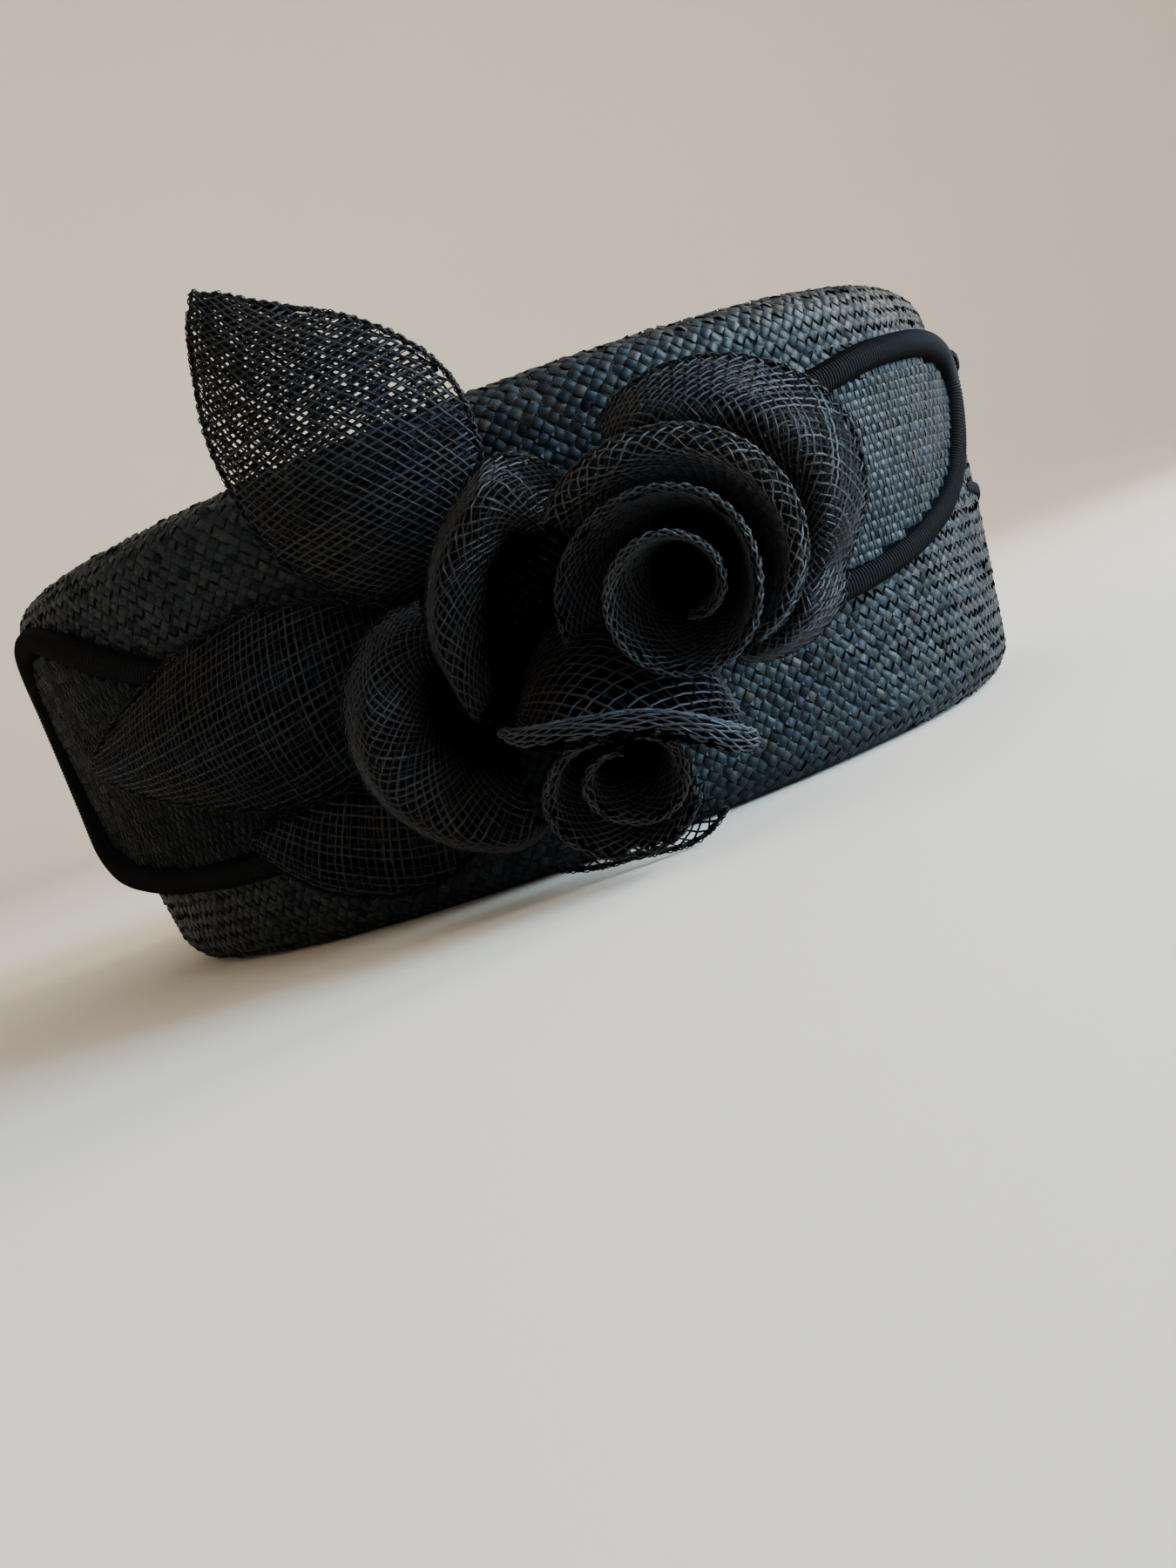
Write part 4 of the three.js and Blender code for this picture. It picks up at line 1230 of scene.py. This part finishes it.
class HAT_OT_panels(bpy.types.Operator):
    """Models the two straw panels inside the ribbon loops"""

    bl_idname = "hat.panels"
    bl_label = "Panels"

    def execute(self, context):
        straw = context.scene.pillbox_hat.straw
        for number, (name, rows) in enumerate(PANELS.items()):
            rows = np.array(rows, float)
            rows[:, 3:] = np.maximum(rows[:, 3:] * PANEL_SINK, PANEL_LEAST_LIFT)
            parts = Parts()
            self.add_backing(parts, rows)
            cloth, inside = self.face(rows)
            weave_straw(
                parts, cloth, straw.pitch / MM * PANEL_PITCH, STRAIGHT, straw.rise / MM * PANEL_PITCH,
                STRAW / 2 - PANEL_FLOATS_IN, np.random.default_rng(PANEL_SEED + number), inside, PANEL_TILT,
                PANEL_PAINTED_TONES[name], PANEL_DRAWN,
            )
            piece = parts.build(f"{name}_straw", finish_of("woven_straw", straw_finish, straw))
            place_piece(piece, name)
        return {"FINISHED"}

    def add_backing(self, parts, rows):
        """The sheet behind the floats, with its edges turned in."""
        turn, low, high, low_lift, high_lift = (
            column[:, None] for column in smooth_rows(rows, np.linspace(0, 1, PANEL_GRID[0])).T
        )
        share = np.linspace(0, 1, PANEL_GRID[1])
        height = np.concatenate([
            low - PANEL_TURN_IN,
            low + (high - low) * share,
            high + PANEL_TURN_IN,
        ], axis=1)
        lift = np.concatenate([
            np.maximum(low_lift - PANEL_TURN_DOWN, PANEL_LEAST_LIFT),
            low_lift + (high_lift - low_lift) * share,
            np.maximum(high_lift - PANEL_TURN_DOWN, PANEL_LEAST_LIFT),
        ], axis=1)
        turn = turn + 0 * height
        outer = on_wall(turn, height, lift + STRAW / 2 - PANEL_BACKING_IN)
        inner = on_wall(turn, height, lift - STRAW / 2)
        rings = np.concatenate([outer, inner[:, ::-1]], axis=1)
        sweep(parts, rings[::-1] if turn[-1, 0] > turn[0, 0] else rings, 0.0)

    def face(self, rows):
        """The panel's middle face between its lowest and highest heights, and the test for its outline."""
        turn = smooth_rows(rows, np.linspace(0, 1, PANEL_GRID[0]))[:, 0]
        ends = turn.min() - PANEL_RUN_ON_TURN, turn.max() + PANEL_RUN_ON_TURN
        around = np.linspace(*ends, PANEL_GRID[0])[:, None]
        table = smooth_rows(rows, np.linspace(0, 1, PANEL_TABLE))
        table = table[np.argsort(table[:, 0])]
        low, high, low_lift, high_lift = (
            np.interp(around, table[:, 0], table[:, k]) for k in range(1, 5)
        )
        bottom = low.min() - PANEL_RUN_ON
        top = high.max() + PANEL_RUN_ON
        levels = np.linspace(bottom, top, PANEL_GRID[1])
        height = levels[None, :]
        share = (height - low) / (high - low)
        lift = low_lift + (high_lift - low_lift) * np.clip(share, 0, 1)
        cloth = Cloth(on_wall(around + 0 * height, height + 0 * around, lift))

        def inside(a, b):
            column = np.interp(a, cloth.a, np.arange(len(around)))
            level = np.interp(b, cloth.b, levels)
            least = np.interp(column, np.arange(len(around)), low[:, 0])
            most = np.interp(column, np.arange(len(around)), high[:, 0])
            return (level > least - PANEL_RUN_ON) & (level < most + PANEL_RUN_ON)

        return cloth, inside


# Steps for each rib, places that a route is followed on, the turn past which an edge stays sharp, and shade
RIB_STEPS = 2
RIBBON_GRID = 1500
RIB_SMOOTH_BELOW = 48
RIBBON_SHADE = 0.5
# How near the ribbon's turned-under edges come to the wall
RIBBON_SEAT = 0.5
# How flat the far runs start where they meet the front loop: distance along the run, and share of the height
RIBBON_TUCK = {
    "ribbon_far_upper": ([0, 30, 80], [0.9, 0.9, 1]),
    "ribbon_far_lower": ([0, 12, 30, 80], [0.1, 0.25, 0.4, 1]),
}
# The ribbon's section: place across as a share of half its width, height as a share of its height
RIBBON_SECTION = np.array([
    [-1, 0], [-1, 0.34], [-0.86, 0.7], [-0.5, 0.94], [0, 1], [0.5, 0.94], [0.86, 0.7], [1, 0.34], [1, 0],
])


class HAT_OT_ribbons(bpy.types.Operator):
    """Models the ribbed ribbon piping"""

    bl_idname = "hat.ribbons"
    bl_label = "Ribbons"

    def execute(self, context):
        ribbon = context.scene.pillbox_hat.ribbon
        for name, route in RIBBON_ROUTES.items():
            fine = smooth_rows(route, np.linspace(0, 1, RIBBON_GRID))
            length = run_along(on_wall(*fine.T))
            steps = round(length[-1] / (ribbon.rib / MM) * RIB_STEPS)
            spread = np.linspace(0, length[-1], steps + 1)
            turn, height, lift = (np.interp(spread, length, column) for column in fine.T)
            path = on_wall(turn, height, lift)
            normal = wall_normal(turn)
            across = unit(np.cross(np.gradient(path, axis=0), normal))
            groove = (np.arange(steps + 1) % RIB_STEPS) * ribbon.depth / MM
            tuck = np.interp(spread, *RIBBON_TUCK[name]) if name in RIBBON_TUCK else 1.0
            wide = RIBBON_WIDTH / 2 * np.sqrt(tuck) - groove
            high = (RIBBON_HEIGHT * tuck - groove)[:, None] * RIBBON_SECTION[:, 1]
            high[:, [0, -1]] = np.minimum(RIBBON_SEAT - lift, 0)[:, None]
            rings = (
                path[:, None]
                + across[:, None] * (wide[:, None] * RIBBON_SECTION[:, 0])[..., None]
                + normal[:, None] * high[..., None]
            )
            parts = Parts()
            sweep(parts, rings[:, ::-1], RIBBON_SHADE)
            finish = finish_of("ribbed_ribbon", ribbon_finish, ribbon)
            piece = parts.build(f"{name}_piping", finish, RIB_SMOOTH_BELOW)
            place_piece(piece, name)
        return {"FINISHED"}


# The grids that leaves and petals are followed on: a petal's has a row for each few degrees round its axis
LEAF_GRID = (160, 60)
PETAL_GRID_STEP = 3.0
PETAL_GRID_ACROSS = 60
# A leaf's edges drop as if it were at least this wide on each side of its spine
LEAF_FLATTEST = 5.0
# How far a leaf's strands draw together where it narrows, and how it comes to a point at its tip
LEAF_GATHER = 0.6
LEAF_POINT = ([0, 0.95, 1], [1, 1, 0.05])
# The loops along a leaf's edge: how far they stand out and their length
LEAF_LOOP = 0.5
LEAF_LOOP_LENGTH = 2.4
LEAF_HEM_STEP = 0.6
# Up to this radius a rolled edge is painted in shade, at this share of its sheet's tone
PLAIN_HEM = 0.55
PLAIN_HEM_TONE = 0.4
# From this radius a rolled edge is wide: its strands run nearly along it, it is painted lighter than its
# sheet as painted light, and it thins towards its end
WIDE_HEM = 1.5
WIDE_HEM_TONE = 2.1
WIDE_HEM_SLOPE = 0.24
WIDE_HEM_ENDS = ([0, 0.03, 0.1, 0.3, 0.85, 1], [0.6, 1.05, 1.2, 1, 0.85, 0.4])
# How softly the painted shade of a fold deepens towards its foot
PAINTED_SHADE_FADE = 0.15


def add_layers(parts, cloth, sheet, sinamay, rng, up, inside=None):
    """The sheet's layers of open weave, darkened towards the foot as painted shade; up gives the way up from
    the foot at each place, from 0 to 1.
    """
    pitch = sinamay.pitch / MM * sheet.pitch
    depth = sinamay.depth / MM
    for turned, share, width, tone, lift, face in LAYERS[sheet.kind]:

        def painted_light(a, b):
            middle = sheet.dark[0] + (sheet.dark[1] - sheet.dark[0]) * a / cloth.length
            return sheet.tone * tone * np.clip((up(a, b) - middle) / (2 * PAINTED_SHADE_FADE) + 0.5, 0, 1)

        weave(
            parts, cloth, pitch * share, [angle + turned for angle in sheet.angles], pitch * share * width,
            depth, sheet.side * lift, rng, painted_light, inside, sheet.side * face,
        )


def add_edge(parts, path, normal, sheet, sinamay, rng, step=HEM_STEP):
    """A rolled edge of a sheet, painted in shade where it is thin and painted lighter where it is wide."""
    tone = sheet.tone
    winding = ()
    if sheet.roll <= PLAIN_HEM:
        tone *= PLAIN_HEM_TONE
    if sheet.roll >= WIDE_HEM:
        tone *= WIDE_HEM_TONE
        winding = (WIDE_HEM_SLOPE, WIDE_HEM_ENDS)
    width = sinamay.width / MM
    depth = sinamay.depth / MM
    add_hem(parts, path, normal, sheet.roll, width, depth, rng, tone, step, *winding)


class HAT_OT_leaves(bpy.types.Operator):
    """Models the sinamay leaves"""

    bl_idname = "hat.leaves"
    bl_label = "Leaves"

    def execute(self, context):
        sinamay = context.scene.pillbox_hat.sinamay
        for number, (name, rows) in enumerate(LEAVES.items()):
            self.add_leaf(name, rows, sinamay, np.random.default_rng(LEAF_SEED + number))
        return {"FINISHED"}

    def add_leaf(self, name, rows, sinamay, rng):
        """A leaf: layers of open weave that gather towards its ends, and a looped edge on each side."""
        sheet = SINAMAY_SHEETS[name]
        s = np.linspace(0, 1, LEAF_GRID[0])
        turn, height, half, lift, drop = smooth_rows(rows, s).T
        half = half * np.interp(s, *LEAF_POINT)
        spine = on_wall(turn, height, lift)
        normal = wall_normal(turn)
        across = unit(np.cross(normal, np.gradient(spine, axis=0)))
        drawn = 1 - LEAF_GATHER + LEAF_GATHER * half / half.max()
        reach = (half / drawn).max()
        flat = np.linspace(-reach, reach, LEAF_GRID[1])
        y = flat[None, :] * drawn[:, None]
        sag = drop[:, None] * (y / np.maximum(half, LEAF_FLATTEST)[:, None]) ** 2
        points = spine[:, None] + across[:, None] * y[..., None] - normal[:, None] * sag[..., None]
        cloth = Cloth(points)

        def inside(a, b):
            edge = np.interp(a, cloth.a, half / drawn)
            return np.abs(np.interp(b, cloth.b, flat)) < edge

        parts = Parts()
        add_layers(parts, cloth, sheet, sinamay, rng, lambda a, b: a / cloth.length, inside)
        for way in (-1, 1):
            edge = spine + across * (way * half)[:, None] - normal * drop[:, None]
            run = run_along(edge)
            fine = np.linspace(0, run[-1], round(run[-1] / LEAF_HEM_STEP))
            loops = way * LEAF_LOOP * np.abs(np.sin(math.pi * fine / LEAF_LOOP_LENGTH))
            edge, out, aside = (spread_along(fine, run, rows) for rows in (edge, normal, across))
            add_edge(parts, edge + aside * loops[:, None], out, sheet, sinamay, rng, LEAF_HEM_STEP)
        piece = parts.build(f"{name}_sinamay", finish_of("sinamay_strands", sinamay_finish, sinamay))
        place_piece(piece, name)


def petal_points(axis, rows):
    """A petal's surface on a grid: round its axis, and from its foot on the wall to its lip."""
    u, v, lean_u, lean_v = axis
    base = SPRAY_CENTRE + u * SPRAY_U + v * SPRAY_V + SPRAY_LIFT * SPRAY_W
    up = unit(SPRAY_W + lean_u * SPRAY_U + lean_v * SPRAY_V)
    right = unit(SPRAY_U - up * (SPRAY_U @ up))
    rise = np.cross(up, right)
    turned = rows[-1][0] - rows[0][0]
    s = np.linspace(0, 1, round(turned / PETAL_GRID_STEP) + 1)
    turn, foot, belly_r, belly_h, crest_r, crest_h, lip_r, lip_h = smooth_rows(rows, s).T
    angle = np.radians(turn)
    outward = np.cos(angle)[:, None] * right + np.sin(angle)[:, None] * rise
    section = [drop_to_wall(u + foot * np.cos(angle), v + foot * np.sin(angle), SEAM_GAP + SHEET / 2)]
    for radius, height in ((belly_r, belly_h), (crest_r, crest_h), (lip_r, lip_h)):
        section.append(base + outward * radius[:, None] + up * height[:, None])
    return smooth_rows(np.array(section), np.linspace(0, 1, PETAL_GRID_ACROSS)).swapaxes(0, 1)


# The sewn-down foot under the roses, a black sheet that stands in as painted shade deep in the spray: middle
# and half sizes in the spray's frame, lift off the wall, thickness
FOOT_MIDDLE = (-6, 0)
FOOT_REACH = (31, 27)
FOOT_LIFT = 0.7
FOOT_SHEET = 0.5
FOOT_SIDES = 40
FOOT_RINGS = 6
FOOT_SHADE_TONE = 0.1
FOOT_ANGLES = (40, -50)
# Its innermost ring, and how far out its strands reach, as shares of its half and its whole size
FOOT_INNERMOST = 0.05
FOOT_STRANDS_END = 0.49


def add_foot_in_painted_shade(parts, sinamay, rng):
    """The cloth that the petals are sewn to, flat on the wall behind the roses and black as painted shade."""
    angle = np.linspace(0, 2 * math.pi, FOOT_SIDES, endpoint=False)
    shares = np.linspace(FOOT_INNERMOST, 1, FOOT_RINGS)
    rings = []
    for lift, order in ((FOOT_LIFT + FOOT_SHEET, shares), (FOOT_LIFT, shares[::-1])):
        for share in order:
            u = FOOT_MIDDLE[0] + FOOT_REACH[0] * share * np.cos(angle)
            v = FOOT_MIDDLE[1] + FOOT_REACH[1] * share * np.sin(angle)
            rings.append(drop_to_wall(u, v, lift))
    sweep(parts, np.array(rings)[:, ::-1], 0.0)
    across = np.linspace(-FOOT_REACH[0], FOOT_REACH[0], FOOT_SIDES)[:, None] + np.zeros(FOOT_SIDES)
    up = np.linspace(-FOOT_REACH[1], FOOT_REACH[1], FOOT_SIDES)[None, :] + np.zeros((FOOT_SIDES, 1))
    cloth = Cloth(drop_to_wall(FOOT_MIDDLE[0] + across, FOOT_MIDDLE[1] + up, FOOT_LIFT + FOOT_SHEET))

    def inside(a, b):
        return np.hypot(a / cloth.length - 0.5, b / cloth.width - 0.5) < FOOT_STRANDS_END

    weave(
        parts, cloth, sinamay.pitch / MM, FOOT_ANGLES, sinamay.width / MM, sinamay.depth / MM,
        sinamay.depth / MM, rng, lambda a, b: np.full_like(a, FOOT_SHADE_TONE), inside,
    )


def add_petals(petals, sinamay, seed, footed=None):
    """Every petal of a rose: layers of open weave, and a rolled lip; one carries the foot of the spray."""
    for number, (name, (axis, rows)) in enumerate(petals.items()):
        rng = np.random.default_rng(seed + number)
        sheet = SINAMAY_SHEETS[name]
        cloth = Cloth(petal_points(axis, rows), sheet.guide)
        parts = Parts()
        add_layers(parts, cloth, sheet, sinamay, rng, lambda a, b: b / cloth.width)
        add_edge(parts, cloth.points[:, -1], cloth.normals[:, -1], sheet, sinamay, rng)
        if name == footed:
            add_foot_in_painted_shade(parts, sinamay, rng)
        piece = parts.build(f"{name}_sinamay", finish_of("sinamay_strands", sinamay_finish, sinamay))
        place_piece(piece, name)


class HAT_OT_upper_rose(bpy.types.Operator):
    """Models the upper rose and the rolled petal beside it"""

    bl_idname = "hat.upper_rose"
    bl_label = "Upper rose"

    def execute(self, context):
        add_petals(UPPER_PETALS, context.scene.pillbox_hat.sinamay, UPPER_SEED, "rose_upper_back_petal")
        return {"FINISHED"}


class HAT_OT_lower_rose(bpy.types.Operator):
    """Models the lower rose and the petals round it"""

    bl_idname = "hat.lower_rose"
    bl_label = "Lower rose"

    def execute(self, context):
        add_petals(LOWER_PETALS, context.scene.pillbox_hat.sinamay, LOWER_SEED)
        return {"FINISHED"}


class HAT_PT_panel(bpy.types.Panel):
    """Lists the hat's settings and pieces"""

    bl_idname = "HAT_PT_panel"
    bl_label = "Pillbox hat"
    bl_space_type = "VIEW_3D"
    bl_region_type = "UI"
    bl_category = "Hat"

    def draw(self, context):
        hat = context.scene.pillbox_hat
        for settings in (hat.straw, hat.ribbon, hat.sinamay, hat.stage):
            box = self.layout.box()
            for name in type(settings).__annotations__:
                box.prop(settings, name)
        for operator in OPERATORS:
            self.layout.operator(operator.bl_idname)


OPERATORS = [
    HAT_OT_stage,
    HAT_OT_crown,
    HAT_OT_panels,
    HAT_OT_ribbons,
    HAT_OT_leaves,
    HAT_OT_upper_rose,
    HAT_OT_lower_rose,
]
GROUPS = [StrawSettings, RibbonSettings, SinamaySettings, StageSettings, HatSettings]


def register():
    for kind in [*GROUPS, *OPERATORS, HAT_PT_panel]:
        bpy.utils.register_class(kind)
    bpy.types.Scene.pillbox_hat = bpy.props.PointerProperty(type=HatSettings)


def unregister():
    del bpy.types.Scene.pillbox_hat
    for kind in reversed([*GROUPS, *OPERATORS, HAT_PT_panel]):
        bpy.utils.unregister_class(kind)


def main():
    register()
    bpy.ops.hat.stage()
    bpy.ops.hat.crown()
    bpy.ops.hat.panels()
    bpy.ops.hat.ribbons()
    bpy.ops.hat.leaves()
    bpy.ops.hat.upper_rose()
    bpy.ops.hat.lower_rose()


if __name__ == "__main__":
    main()
